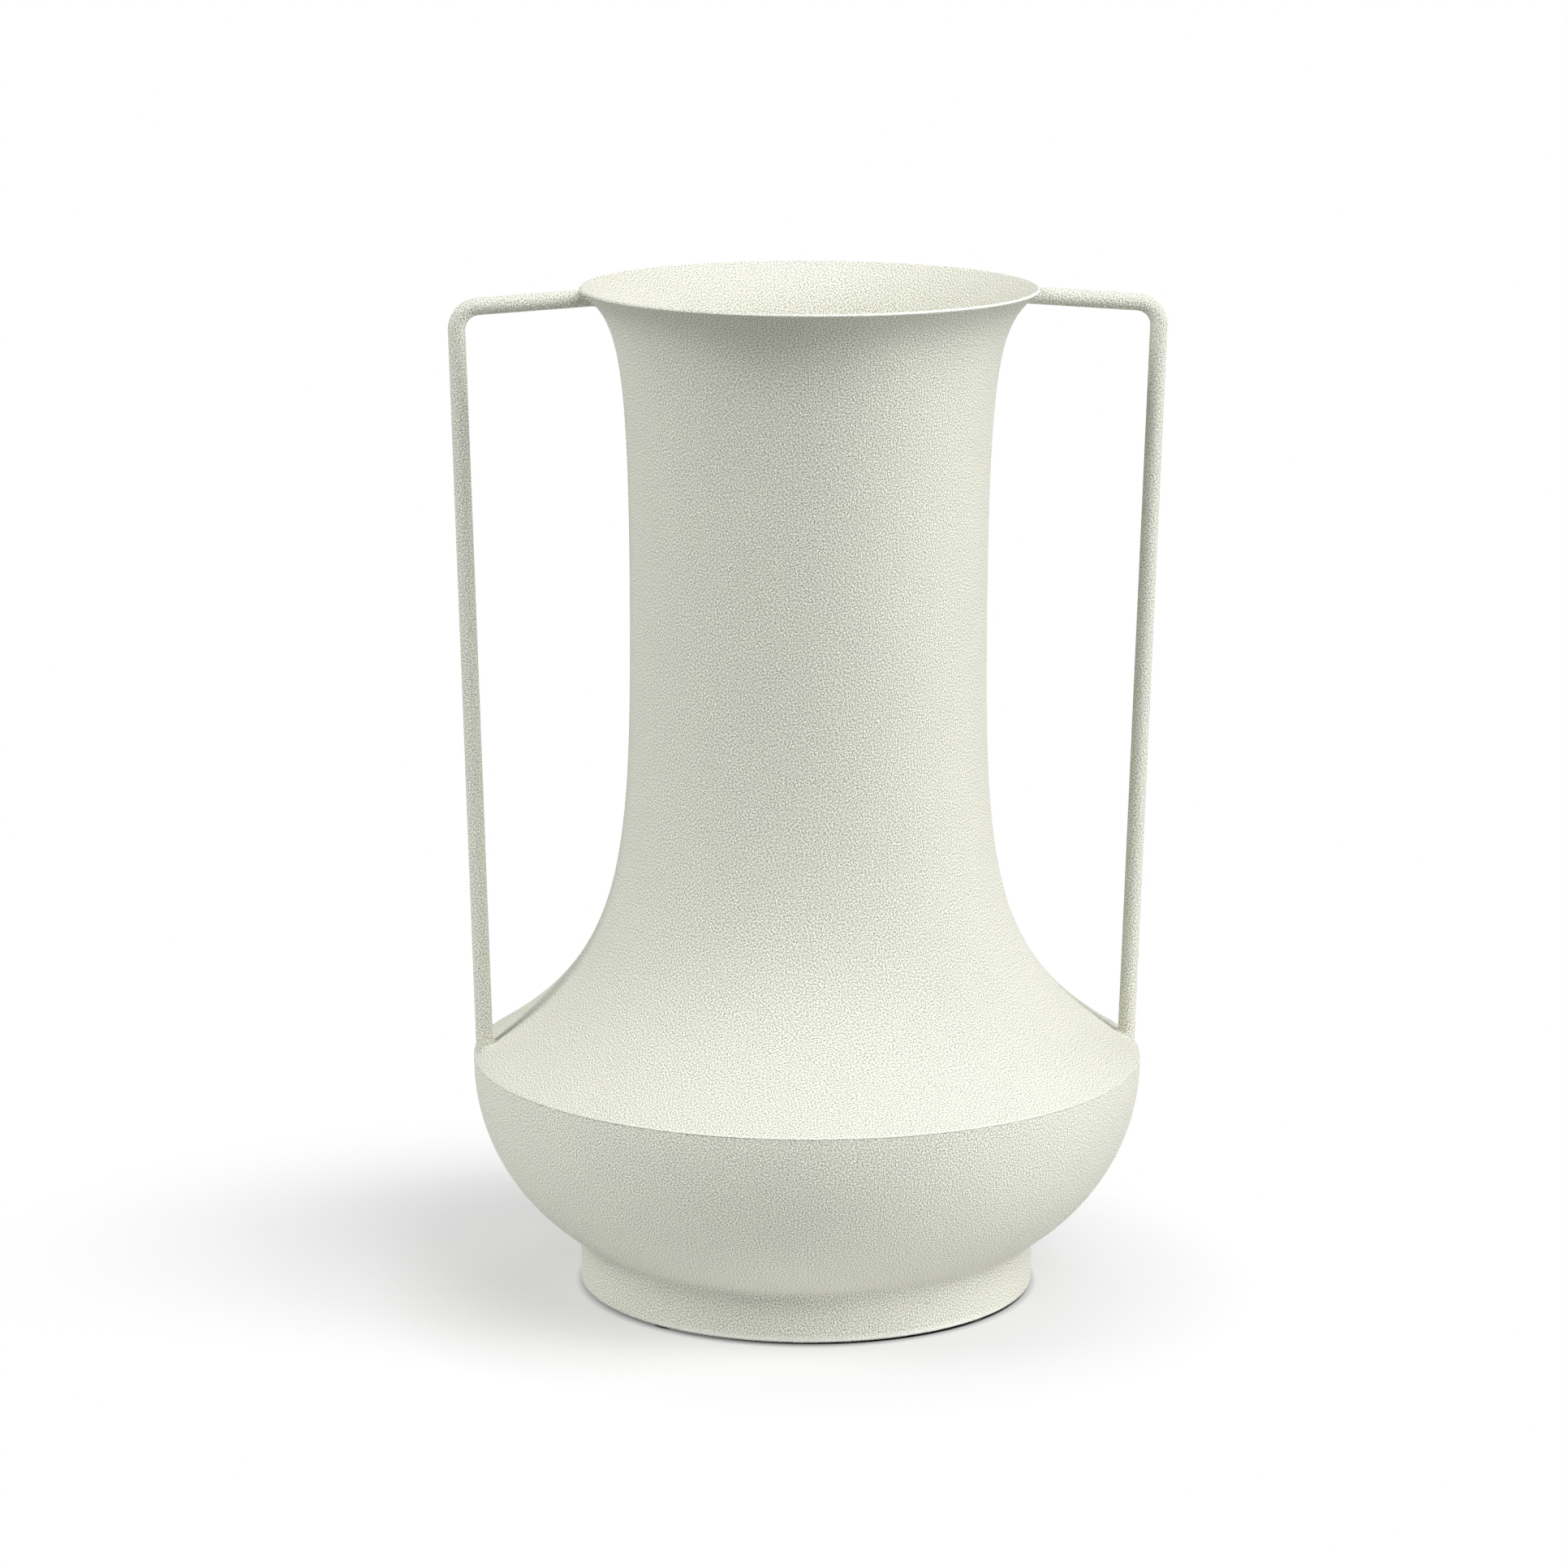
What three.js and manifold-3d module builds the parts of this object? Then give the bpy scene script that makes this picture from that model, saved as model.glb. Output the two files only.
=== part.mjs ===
// Twin-handled vase in coated steel sheet: a spun neck on a pressed bowl, standing on a ring foot,
// with two handles of bent round bar welded from the lip to the edge of the shoulder.
// Millimetres, +Z up. The origin is the middle of the base, on the table; the handles lie along X.
import * as THREE from "three";
import { mergeVertices } from "three/addons/utils/BufferGeometryUtils.js";
import Module from "manifold-3d";

// Sheet and joints
const SHEET = 1; // wall of every sheet piece
const CLEARANCE = 0.3; // left between neighbouring pieces
const SHEET_BEND = 0.5; // inside radius of a folded flange
const FEATHER = 0.25; // thickness of a weld bead at its edges

// Neck: from the lip through the waist to the edge of the shoulder
const HEIGHT = 355.8; // top of the lip above the table
const LIP_DIAMETER = 158.8;
const LIP_FLARE = 49; // degrees that the lip leans out from upright
const WAIST_DIAMETER = 124.6;
const WAIST_HEIGHT = 238;
const SHOULDER_DIAMETER = 236;
const SHOULDER_HEIGHT = 84.4; // edge of the shoulder above the table
const SHOULDER_FALL = 31.4; // degrees that the shoulder falls at its edge

// How hard each end pulls its curve, as a share of the height that the curve climbs
const LIP_PULL = 0.148;
const WAIST_PULL_UP = 0.84;
const WAIST_PULL_DOWN = 0.61;
const SHOULDER_PULL = 0.392;

// Bowl, and the seam where the neck lies on the bowl's turned-in rim
const BOWL_LIFT = 8.7; // underside of the bowl above the table
const BOWL_FLAT_DIAMETER = 82.6; // flat middle of the bowl
const RIM_FLANGE = 8; // length of the turned-in rim
const SEAM_GROOVE = 2; // how far the shoulder stops short of its edge, for the seam weld

// Foot
const FOOT_DIAMETER = 160.7;
const FOOT_FLANGE = 14;
const FOOT_WELD_LEG = 3.5;
const PAD_DIAMETER = 11;
const PAD_THICKNESS = 1;
const PAD_COUNT = 4;
const PAD_START = 45; // degrees from +X to the first pad

// Handles
const BAR_DIAMETER = 6;
const HANDLE_REACH = 121.8; // from the vase's axis to where the lines of arm and leg cross
const ARM_FALL = 4; // degrees that the arm falls from the lip
const BAR_BEND = 8; // radius of the bend along the middle of the bar
const EDGE_MARGIN = 0.8; // from the edge of the shoulder to the side of the leg
const BAR_WELD_LEG = 2.4;
const BAR_WELD_HOLLOW = 0.3; // share of the leg that the bead keeps along the middle of its face
const LIP_WELD_SPREAD = 200; // degrees round the bar
const SHOULDER_WELD_SPREAD = 240;

// Facets
const TURN_STEPS = 48; // round the vase
const SKIRT_STEPS = 12; // from the shoulder's edge to the waist
const FLARE_STEPS = 9; // from the waist to the lip
const BOWL_STEPS = 9;
const FOLD_STEPS = 2;
const FILLET_STEPS = 4;
const BAR_SIDES = 16;
const PAD_SIDES = 16;
const BEND_STEPS = 6;
const BEAD_STEPS = 12;
const SAME_POINT = 1e-3; // points closer than this are one
const NEAR_ENOUGH = 1e-4; // where a search along a line stops

// Sizes that follow from the ones above
const LIP_RADIUS = LIP_DIAMETER / 2;
const WAIST_RADIUS = WAIST_DIAMETER / 2;
const SHOULDER_RADIUS = SHOULDER_DIAMETER / 2;
const FLAT_RADIUS = BOWL_FLAT_DIAMETER / 2;
const FOOT_RADIUS = FOOT_DIAMETER / 2;
const BAR_RADIUS = BAR_DIAMETER / 2;
const FOLD_OUTSIDE = SHEET_BEND + SHEET;

const { degToRad } = THREE.MathUtils;
const wasm = await Module();
wasm.setup();

// A point of a profile: radius from the axis, height above the table.
const at = (radius, height) => new THREE.Vector2(radius, height);

// A unit vector in the plane of a profile, by its angle above the outward direction.
const toward = (angle) => at(Math.cos(angle), Math.sin(angle));

// The start point moved by a distance along a direction.
const moved = (start, direction, distance) => start.clone().addScaledVector(direction, distance);

// Points along an elliptical arc of a profile, both ends included.
function arc(centre, radiusAcross, radiusUp, from, to, steps) {
  const clockwise = to < from;
  const curve = new THREE.EllipseCurve(centre.x, centre.y, radiusAcross, radiusUp, from, to, clockwise);
  return curve.getPoints(steps);
}

// A profile turned round the vase's axis.
const revolve = (profile) => new THREE.LatheGeometry(profile, TURN_STEPS).rotateX(Math.PI / 2);

// A closed outline turned round the vase's axis.
const revolveRing = (outline) => revolve([...outline, outline[0]]);

// A closed geometry as a solid that can be cut.
function solidOf(geometry) {
  const shape = geometry.clone();
  shape.deleteAttribute("normal");
  shape.deleteAttribute("uv");
  const merged = mergeVertices(shape, SAME_POINT);
  const vertProperties = merged.getAttribute("position").array;
  const triVerts = new Uint32Array(merged.index.array);
  return new wasm.Manifold(new wasm.Mesh({ numProp: 3, vertProperties, triVerts }));
}

// A cut solid as a geometry again.
function geometryOf(solid) {
  const mesh = solid.getMesh();
  const geometry = new THREE.BufferGeometry();
  geometry.setAttribute("position", new THREE.BufferAttribute(mesh.vertProperties, 3));
  geometry.setIndex(new THREE.BufferAttribute(mesh.triVerts, 1));
  geometry.computeVertexNormals();
  return geometry;
}

// Neck curves, drawn up the outside of the sheet: skirt from the edge to the waist, flare to the lip
const lipFlare = degToRad(LIP_FLARE);
const waist = at(WAIST_RADIUS, WAIST_HEIGHT);
const lip = at(LIP_RADIUS, HEIGHT - SHEET * Math.sin(lipFlare));
const edge = at(SHOULDER_RADIUS, SHOULDER_HEIGHT);
const skirtClimb = WAIST_HEIGHT - SHOULDER_HEIGHT;
const flareClimb = lip.y - WAIST_HEIGHT;
const shoulderFall = degToRad(SHOULDER_FALL);
const upShoulder = toward(Math.PI - shoulderFall);
const offShoulder = toward(Math.PI / 2 - shoulderFall);
const downLip = toward(-Math.PI / 2 - lipFlare);
const skirt = new THREE.CubicBezierCurve(
  edge,
  moved(edge, upShoulder, SHOULDER_PULL * skirtClimb),
  at(WAIST_RADIUS, WAIST_HEIGHT - WAIST_PULL_DOWN * skirtClimb),
  waist,
);
const flare = new THREE.CubicBezierCurve(
  waist,
  at(WAIST_RADIUS, WAIST_HEIGHT + WAIST_PULL_UP * flareClimb),
  moved(lip, downLip, LIP_PULL * flareClimb),
  lip,
);

// One face of the neck, from the shoulder up to the lip, at a distance outside the sheet's outer face.
function neckFace(outside, stopShort) {
  const start = skirt.getUtoTmapping(stopShort / skirt.getLength());
  const facePoint = (curve, t) => {
    const along = curve.getTangent(t);
    return moved(curve.getPoint(t), at(along.y, -along.x), outside);
  };
  const points = [];
  for (let i = 0; i <= SKIRT_STEPS; i += 1) {
    points.push(facePoint(skirt, start + (1 - start) * (i / SKIRT_STEPS)));
  }
  for (let i = 1; i <= FLARE_STEPS; i += 1) {
    points.push(facePoint(flare, i / FLARE_STEPS));
  }
  return points;
}

function neckShell() {
  const outer = neckFace(0, SEAM_GROOVE);
  const inner = neckFace(-SHEET, SEAM_GROOVE);
  return revolveRing([...outer, ...inner.reverse()]);
}

// Bowl rim: the upright wall folds in to a flange that lies under the shoulder
const foldTurn = Math.PI / 2 - shoulderFall;
const rimCorner = at(SHOULDER_RADIUS, SHOULDER_HEIGHT - (SHEET + CLEARANCE) / Math.cos(shoulderFall));
const foldLength = FOLD_OUTSIDE * Math.tan(foldTurn / 2);
const wallTop = rimCorner.y - foldLength;
const foldCentre = at(SHOULDER_RADIUS - FOLD_OUTSIDE, wallTop);
const bowlCentre = at(FLAT_RADIUS, wallTop);
const bowlAcross = SHOULDER_RADIUS - FLAT_RADIUS;
const bowlDepth = wallTop - BOWL_LIFT;

// Height of the surface that lies a distance outside the bowl, at a radius beyond its flat middle.
function bowlHeight(radius, outside) {
  const share = (radius - FLAT_RADIUS) / (bowlAcross + outside);
  return wallTop - (bowlDepth + outside) * Math.sqrt(1 - share * share);
}

function bowlShell() {
  const quarter = -Math.PI / 2;
  const outer = arc(bowlCentre, bowlAcross, bowlDepth, quarter, 0, BOWL_STEPS);
  const inner = arc(bowlCentre, bowlAcross - SHEET, bowlDepth - SHEET, 0, quarter, BOWL_STEPS);
  const foldOutside = arc(foldCentre, FOLD_OUTSIDE, FOLD_OUTSIDE, 0, foldTurn, FOLD_STEPS);
  const foldInside = arc(foldCentre, SHEET_BEND, SHEET_BEND, foldTurn, 0, FOLD_STEPS);
  const flangeEnd = moved(rimCorner, upShoulder, RIM_FLANGE);
  return revolve([
    at(0, BOWL_LIFT),
    ...outer,
    ...foldOutside.slice(1),
    flangeEnd,
    moved(flangeEnd, offShoulder, -SHEET),
    ...foldInside,
    ...inner.slice(1),
    at(0, BOWL_LIFT + SHEET),
  ]);
}

// The seam weld fills the groove between the shoulder and the fold, dressed flush to a crisp edge.
function bodySeamWeld() {
  const reach = SEAM_GROOVE - CLEARANCE;
  const foldSeat = FOLD_OUTSIDE + CLEARANCE;
  const tipTurn = Math.acos((FOLD_OUTSIDE - FEATHER) / foldSeat);
  const top = moved(edge, upShoulder, reach);
  const tip = at(SHOULDER_RADIUS, wallTop + foldSeat * Math.sin(tipTurn));
  const root = moved(foldCentre, offShoulder, foldSeat);
  return revolveRing([tip, edge, top, moved(top, offShoulder, -SHEET), root]);
}

// The foot: an upright band trimmed to the bowl, with its bottom edge folded in to stand on.
function footRing() {
  const inside = FOOT_RADIUS - SHEET;
  const bottom = PAD_THICKNESS;
  const foldMiddle = at(FOOT_RADIUS - FOLD_OUTSIDE, bottom + FOLD_OUTSIDE);
  const flangeInside = FOOT_RADIUS - FOOT_FLANGE;
  const quarter = -Math.PI / 2;
  return revolveRing([
    ...arc(foldMiddle, FOLD_OUTSIDE, FOLD_OUTSIDE, quarter, 0, FOLD_STEPS),
    at(FOOT_RADIUS, bowlHeight(FOOT_RADIUS, CLEARANCE)),
    at(inside, bowlHeight(inside, CLEARANCE)),
    ...arc(foldMiddle, SHEET_BEND, SHEET_BEND, 0, quarter, FOLD_STEPS),
    at(flangeInside, bottom + SHEET),
    at(flangeInside, bottom),
  ]);
}

// The foot weld: a hollow fillet in the crease between the bowl and the band.
function footWeld() {
  const wall = FOOT_RADIUS + CLEARANCE;
  const toeRadius = wall + FOOT_WELD_LEG;
  const root = at(wall, bowlHeight(wall, CLEARANCE));
  const heel = at(wall, root.y - FOOT_WELD_LEG);
  const toe = at(toeRadius, bowlHeight(toeRadius, CLEARANCE));
  const hollow = new THREE.QuadraticBezierCurve(
    at(wall + FEATHER, heel.y),
    at(wall + FEATHER, root.y - FEATHER),
    at(toeRadius, toe.y - FEATHER),
  );
  return revolveRing([heel, ...hollow.getPoints(FILLET_STEPS), toe, root]);
}

function footPad() {
  const disc = new THREE.CylinderGeometry(PAD_DIAMETER / 2, PAD_DIAMETER / 2, PAD_THICKNESS, PAD_SIDES);
  return disc.rotateX(Math.PI / 2).translate(0, 0, PAD_THICKNESS / 2);
}

// Handle lines in the XZ plane: the arm leaves flush with the lip, the leg stands on the shoulder's edge
const armLine = degToRad(ARM_FALL);
const lipEnd = new THREE.Vector3(LIP_RADIUS, 0, lip.y - BAR_RADIUS);
const cornerFall = (HANDLE_REACH - LIP_RADIUS) * Math.tan(armLine);
const corner = new THREE.Vector3(HANDLE_REACH, 0, lipEnd.z - cornerFall);
const legInset = EDGE_MARGIN + BAR_RADIUS;
const footEnd = new THREE.Vector3(
  SHOULDER_RADIUS - legInset,
  0,
  SHOULDER_HEIGHT + legInset * Math.tan(shoulderFall),
);
const armAway = corner.clone().sub(lipEnd).normalize();
const legAway = corner.clone().sub(footEnd).normalize();

// The middle of a handle's bar: straight arm, round bend, straight leg. Its stations follow the shape,
// one for each straight and several round the bend, so they aren't evenly spaced by length.
class BarLine extends THREE.Curve {
  constructor(start, bendCorner, end, radius, bendSteps) {
    super();
    const armUnit = start.clone().sub(bendCorner).normalize();
    const legUnit = end.clone().sub(bendCorner).normalize();
    const halfAngle = armUnit.angleTo(legUnit) / 2;
    const setback = radius / Math.tan(halfAngle);
    this.start = start;
    this.end = end;
    this.bendStart = bendCorner.clone().addScaledVector(armUnit, setback);
    this.bendEnd = bendCorner.clone().addScaledVector(legUnit, setback);
    const inward = armUnit.clone().add(legUnit).normalize();
    this.centre = bendCorner.clone().addScaledVector(inward, radius / Math.sin(halfAngle));
    this.turn = Math.PI - 2 * halfAngle;
    this.straightShare = 1 / (bendSteps + 2);
  }

  getPoint(t) {
    const share = this.straightShare;
    if (t <= share) {
      return this.start.clone().lerp(this.bendStart, t / share);
    }
    if (t >= 1 - share) {
      return this.end.clone().lerp(this.bendEnd, (1 - t) / share);
    }
    const turned = this.turn * ((t - share) / (1 - 2 * share));
    const spoke = this.bendStart.clone().sub(this.centre);
    return spoke.applyAxisAngle(new THREE.Vector3(0, 1, 0), turned).add(this.centre);
  }

  getUtoTmapping(u) {
    return u;
  }
}

// Everything that a handle's bar stops short of: the outside of the neck, filled to its axis, the space
// above the mouth, and all that lies below the shoulder's edge.
function bodyEnvelope() {
  const face = neckFace(CLEARANCE, 0);
  const side = SHOULDER_RADIUS + BAR_DIAMETER;
  const rim = LIP_RADIUS + CLEARANCE;
  const above = HEIGHT + BAR_DIAMETER;
  const below = [at(0, BOWL_LIFT), at(side, BOWL_LIFT), at(side, SHOULDER_HEIGHT)];
  return revolve([...below, ...face, at(rim, HEIGHT), at(rim, above), at(0, above)]);
}

// A handle: round bar along the bar line, both ends run on into the body and are coped to its surface.
function handle() {
  const runOn = BAR_DIAMETER * 2;
  const start = lipEnd.clone().addScaledVector(armAway, -runOn);
  const end = footEnd.clone().addScaledVector(legAway, -runOn);
  const extrudePath = new BarLine(start, corner, end, BAR_BEND, BEND_STEPS);
  const section = new THREE.Shape().absarc(0, 0, BAR_RADIUS, 0, 2 * Math.PI);
  const bar = new THREE.ExtrudeGeometry(section, {
    steps: BEND_STEPS + 2,
    curveSegments: BAR_SIDES,
    extrudePath,
  });
  return geometryOf(solidOf(bar).subtract(solidOf(bodyEnvelope())));
}

// A closed skin over a row of outlines with equal numbers of points, capped with fans at both ends.
function loft(outlines) {
  const count = outlines[0].length;
  const last = (outlines.length - 1) * count;
  const index = [];
  for (let row = 0; row < last; row += count) {
    for (let i = 0; i < count; i += 1) {
      const next = (i + 1) % count;
      index.push(row + i, row + next, row + count + i);
      index.push(row + next, row + count + next, row + count + i);
    }
  }
  for (let i = 1; i < count - 1; i += 1) {
    index.push(0, i + 1, i);
    index.push(last, last + i, last + i + 1);
  }
  const geometry = new THREE.BufferGeometry().setFromPoints(outlines.flat());
  geometry.setIndex(index);
  geometry.computeVertexNormals();
  return geometry;
}

// Radius of the neck's face, grown by the clearance, at a height. Past its ends the face runs on straight.
const weldSeat = neckFace(CLEARANCE, 0);
function seatRadius(height) {
  const next = weldSeat.findIndex((point) => point.y > height);
  const above = next < 0 ? weldSeat.length - 1 : Math.max(next, 1);
  const low = weldSeat[above - 1];
  const high = weldSeat[above];
  return THREE.MathUtils.mapLinear(height, low.y, high.y, low.x, high.x);
}

// A fillet bead where a bar meets the neck. away points along the bar from the body, inside points into
// the loop of the handle, and the bead spreads to both sides of it round the bar.
function barWeld(end, away, inside, spread) {
  const side = away.clone().cross(inside);
  const inner = BAR_RADIUS + CLEARANCE;
  const search = BAR_DIAMETER * 4;
  const outlines = [];
  for (let i = 0; i <= BEAD_STEPS; i += 1) {
    const turn = degToRad(spread) * (i / BEAD_STEPS - 0.5);
    const out = inside.clone().multiplyScalar(Math.cos(turn)).addScaledVector(side, Math.sin(turn));
    const pointOn = (radius, run) =>
      end.clone().addScaledVector(out, radius).addScaledVector(away, run);
    // A point at a radius from the bar's middle, this far above where the neck's face crosses that line.
    const above = (radius, height) => {
      let low = -search;
      let high = search;
      while (high - low > NEAR_ENOUGH) {
        const middle = (low + high) / 2;
        const point = pointOn(radius, middle);
        const clear = Math.hypot(point.x, point.y) > seatRadius(point.z);
        [low, high] = clear ? [low, middle] : [middle, high];
      }
      return pointOn(radius, high + height);
    };
    const hollow = BAR_WELD_HOLLOW * BAR_WELD_LEG;
    outlines.push([
      above(inner, 0),
      above(inner, BAR_WELD_LEG),
      above(inner + FEATHER, BAR_WELD_LEG),
      above(inner + hollow, hollow),
      above(inner + BAR_WELD_LEG, FEATHER),
      above(inner + BAR_WELD_LEG, 0),
    ]);
  }
  return loft(outlines);
}

// Finishes
const COAT = { color: 0xe4e3d7, roughness: 0.8, metalness: 0 };
const FELT = { color: 0x57534e, roughness: 1, metalness: 0 };

function piece(name, geometry, finish) {
  const mesh = new THREE.Mesh(geometry, new THREE.MeshStandardMaterial(finish));
  mesh.name = name;
  return mesh;
}

// Assembly
const vase = new THREE.Group();
vase.add(
  piece("neck_shell", neckShell(), COAT),
  piece("bowl_shell", bowlShell(), COAT),
  piece("body_seam_weld", bodySeamWeld(), COAT),
  piece("foot_ring", footRing(), COAT),
  piece("foot_weld", footWeld(), COAT),
);

for (let i = 0; i < PAD_COUNT; i += 1) {
  const turn = degToRad(PAD_START + (360 / PAD_COUNT) * i);
  const radius = FOOT_RADIUS - FOOT_FLANGE / 2;
  const pad = piece(`foot_pad_${i + 1}`, footPad(), FELT);
  pad.position.set(radius * Math.cos(turn), radius * Math.sin(turn), 0);
  vase.add(pad);
}

const insideArm = new THREE.Vector3(armAway.z, 0, -armAway.x);
const insideLeg = new THREE.Vector3(-legAway.z, 0, legAway.x);
for (const [name, turn] of [["right", 0], ["left", Math.PI]]) {
  const side = new THREE.Group();
  side.rotation.z = turn;
  side.add(
    piece(`handle_${name}`, handle(), COAT),
    piece(`lip_weld_${name}`, barWeld(lipEnd, armAway, insideArm, LIP_WELD_SPREAD), COAT),
    piece(`shoulder_weld_${name}`, barWeld(footEnd, legAway, insideLeg, SHOULDER_WELD_SPREAD), COAT),
  );
  vase.add(side);
}

export default vase;
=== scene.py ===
# %% [markdown]
# # A twin-handled vase in coated steel
#
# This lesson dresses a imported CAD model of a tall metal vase. The CAD solids stay as the fixed frame,
# and each of them is stood for by a finer piece made here: turned sheet, bent bar, weld beads and felt.
# All lengths below are the vase's own, in millimetres, and become metres only when a mesh is made.

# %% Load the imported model
import math

import bmesh
import bpy
from mathutils import Matrix, Vector


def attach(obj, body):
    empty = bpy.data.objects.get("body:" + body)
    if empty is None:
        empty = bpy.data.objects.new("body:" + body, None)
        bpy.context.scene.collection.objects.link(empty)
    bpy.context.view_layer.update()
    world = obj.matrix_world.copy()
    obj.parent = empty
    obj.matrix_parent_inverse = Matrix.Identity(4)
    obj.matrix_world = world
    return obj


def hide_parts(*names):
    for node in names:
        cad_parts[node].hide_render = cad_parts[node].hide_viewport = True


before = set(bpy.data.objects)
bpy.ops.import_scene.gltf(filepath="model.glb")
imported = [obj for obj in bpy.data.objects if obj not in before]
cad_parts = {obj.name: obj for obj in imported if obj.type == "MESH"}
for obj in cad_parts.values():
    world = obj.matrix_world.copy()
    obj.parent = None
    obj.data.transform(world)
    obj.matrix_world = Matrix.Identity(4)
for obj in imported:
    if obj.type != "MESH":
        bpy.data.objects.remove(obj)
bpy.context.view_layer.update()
MM = 0.001
print("CAD nodes:", len(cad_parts))

# %% [markdown]
# ## The camera
#
# A camera could be placed by eye, but the vase gives a better way. Its lip, seam and foot are circles,
# and three circles on one axis fix where a camera stood and how long its lens was. The fit gave a long
# lens nearly two metres away, looking down by 12 degrees, with the left handle a little nearer.

# %% Stand the camera where the photograph was taken
PHOTO_PIXELS = 1932
FOCAL_PIXELS = 6596.66
SENSOR_MM = 36.0
VIEW_DISTANCE = 1.83986
VIEW_HEIGHT = 0.57134
VIEW_DOWN = math.radians(11.995)
VIEW_LEFT = math.radians(0.2607)
VIEW_ROLL = math.radians(0.15)
HANDLES_TURN = math.radians(4.75)
CLIP_NEAR = 0.05
CLIP_FAR = 50.0

lens = bpy.data.cameras.new("vase_camera")
lens.sensor_width = SENSOR_MM
lens.lens = FOCAL_PIXELS * SENSOR_MM / PHOTO_PIXELS
lens.clip_start = CLIP_NEAR
lens.clip_end = CLIP_FAR
camera = bpy.data.objects.new("vase_camera", lens)
bpy.context.scene.collection.objects.link(camera)
camera_spot = Vector((
    -VIEW_DISTANCE * math.sin(HANDLES_TURN),
    -VIEW_DISTANCE * math.cos(HANDLES_TURN),
    VIEW_HEIGHT,
))
heading = Matrix.Rotation(VIEW_LEFT - HANDLES_TURN, 4, "Z")
tilt = Matrix.Rotation(math.pi / 2 - VIEW_DOWN, 4, "X")
roll = Matrix.Rotation(VIEW_ROLL, 4, "Z")
camera.matrix_world = Matrix.Translation(camera_spot) @ heading @ tilt @ roll
bpy.context.scene.camera = camera
print("lens %.1f mm, camera at" % lens.lens, [round(value, 3) for value in camera_spot])

# %% [markdown]
# ## The powder coat
#
# The whole vase wears one finish: a matte, warm off-white powder coat with a fine sandy skin. On the
# real thing the powder melts into grains about half a millimetre across. A picture of grain could be
# wrapped round the vase, but it would stretch on the flare and show a seam. Noise in object space has
# neither fault, because it fills the air round the vase and the metal only shows where it cuts through.
# But a slice of noise is cloudy, and sand isn't. So each point also reads the noise at four neighbours
# along the skin and takes their mean away, which leaves the grains and removes the clouds. A second,
# finer layer in the same noise keeps the grains from joining up into worms.

# %% Small helpers for building node trees
def add_node(tree, kind, **settings):
    """A new node in a tree, with its own settings given by name."""
    node = tree.nodes.new(kind)
    for key, value in settings.items():
        setattr(node, key, value)
    return node


def fill(node, **values):
    """Sets a node's inputs by their names, with spaces written as underscores."""
    for key, value in values.items():
        node.inputs[key.replace("_", " ")].default_value = value
    return node


def shade(material_name):
    """A new node material, with its tree and its Principled shader."""
    material = bpy.data.materials.new(material_name)
    material.use_nodes = True
    tree = material.node_tree
    return material, tree, tree.nodes["Principled BSDF"]


# %% A noise of grains without clouds
GRAINS_PER_METRE = 1150.0
FINER_SHARE = 0.8
NEIGHBOUR_MM = 0.38
NEIGHBOURS = 4
SKEW_AXIS = (0.36, 0.48, 0.8)

powder_coat, tree, coat_shader = shade("sandy_powder_coat")
place = add_node(tree, "ShaderNodeTexCoord")
aside = add_node(tree, "ShaderNodeVectorMath", operation="CROSS_PRODUCT")
aside.inputs[1].default_value = SKEW_AXIS
one_aside = add_node(tree, "ShaderNodeVectorMath", operation="NORMALIZE")
ahead = add_node(tree, "ShaderNodeVectorMath", operation="CROSS_PRODUCT")
tree.links.new(place.outputs["Normal"], aside.inputs[0])
tree.links.new(aside.outputs["Vector"], one_aside.inputs[0])
tree.links.new(place.outputs["Normal"], ahead.inputs[0])
tree.links.new(one_aside.outputs["Vector"], ahead.inputs[1])


def sand(where):
    """The fine noise, read at a place."""
    grains = fill(add_node(tree, "ShaderNodeTexNoise"), Scale=GRAINS_PER_METRE, Detail=1.0)
    fill(grains, Roughness=FINER_SHARE)
    tree.links.new(where, grains.inputs["Vector"])
    return grains.outputs["Fac"]


crisp = sand(place.outputs["Object"])
for way in (one_aside, ahead):
    for step in (NEIGHBOUR_MM * MM, -NEIGHBOUR_MM * MM):
        beside = add_node(tree, "ShaderNodeVectorMath", operation="MULTIPLY_ADD")
        beside.inputs[1].default_value = (step, step, step)
        tree.links.new(way.outputs["Vector"], beside.inputs[0])
        tree.links.new(place.outputs["Object"], beside.inputs[2])
        less = add_node(tree, "ShaderNodeMath", operation="MULTIPLY_ADD")
        less.inputs[1].default_value = -1 / NEIGHBOURS
        tree.links.new(sand(beside.outputs["Vector"]), less.inputs[0])
        tree.links.new(crisp, less.inputs[2])
        crisp = less.outputs["Value"]
print("nodes in the grain:", len(tree.nodes))

# %% Colour of the powder coat: grain, clouds and specks
COAT_COLOUR = (0.803, 0.807, 0.713)
TONE_DARK = 0.52
TONE_PALE = 1.24
TONE_SPREAD = 0.12
MID_NOISE = 0.5
PATCHES_PER_METRE = 500.0
PATCH_SPREAD = 0.15
CONTRAST_LEAST = 0.8
CONTRAST_MOST = 1.4
CLOUDS_PER_METRE = 45.0
CLOUD_SPREAD = 0.2
CLOUD_DARK = (0.984, 0.982, 0.988, 1.0)
CLOUD_PALE = (1.0, 1.0, 0.993, 1.0)
SPECKS_PER_METRE = 38.0
SPECK_MM = 0.3
SPECK_CORE = 0.5
SPECK_COLOUR = (0.28, 0.26, 0.22, 1.0)

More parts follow.
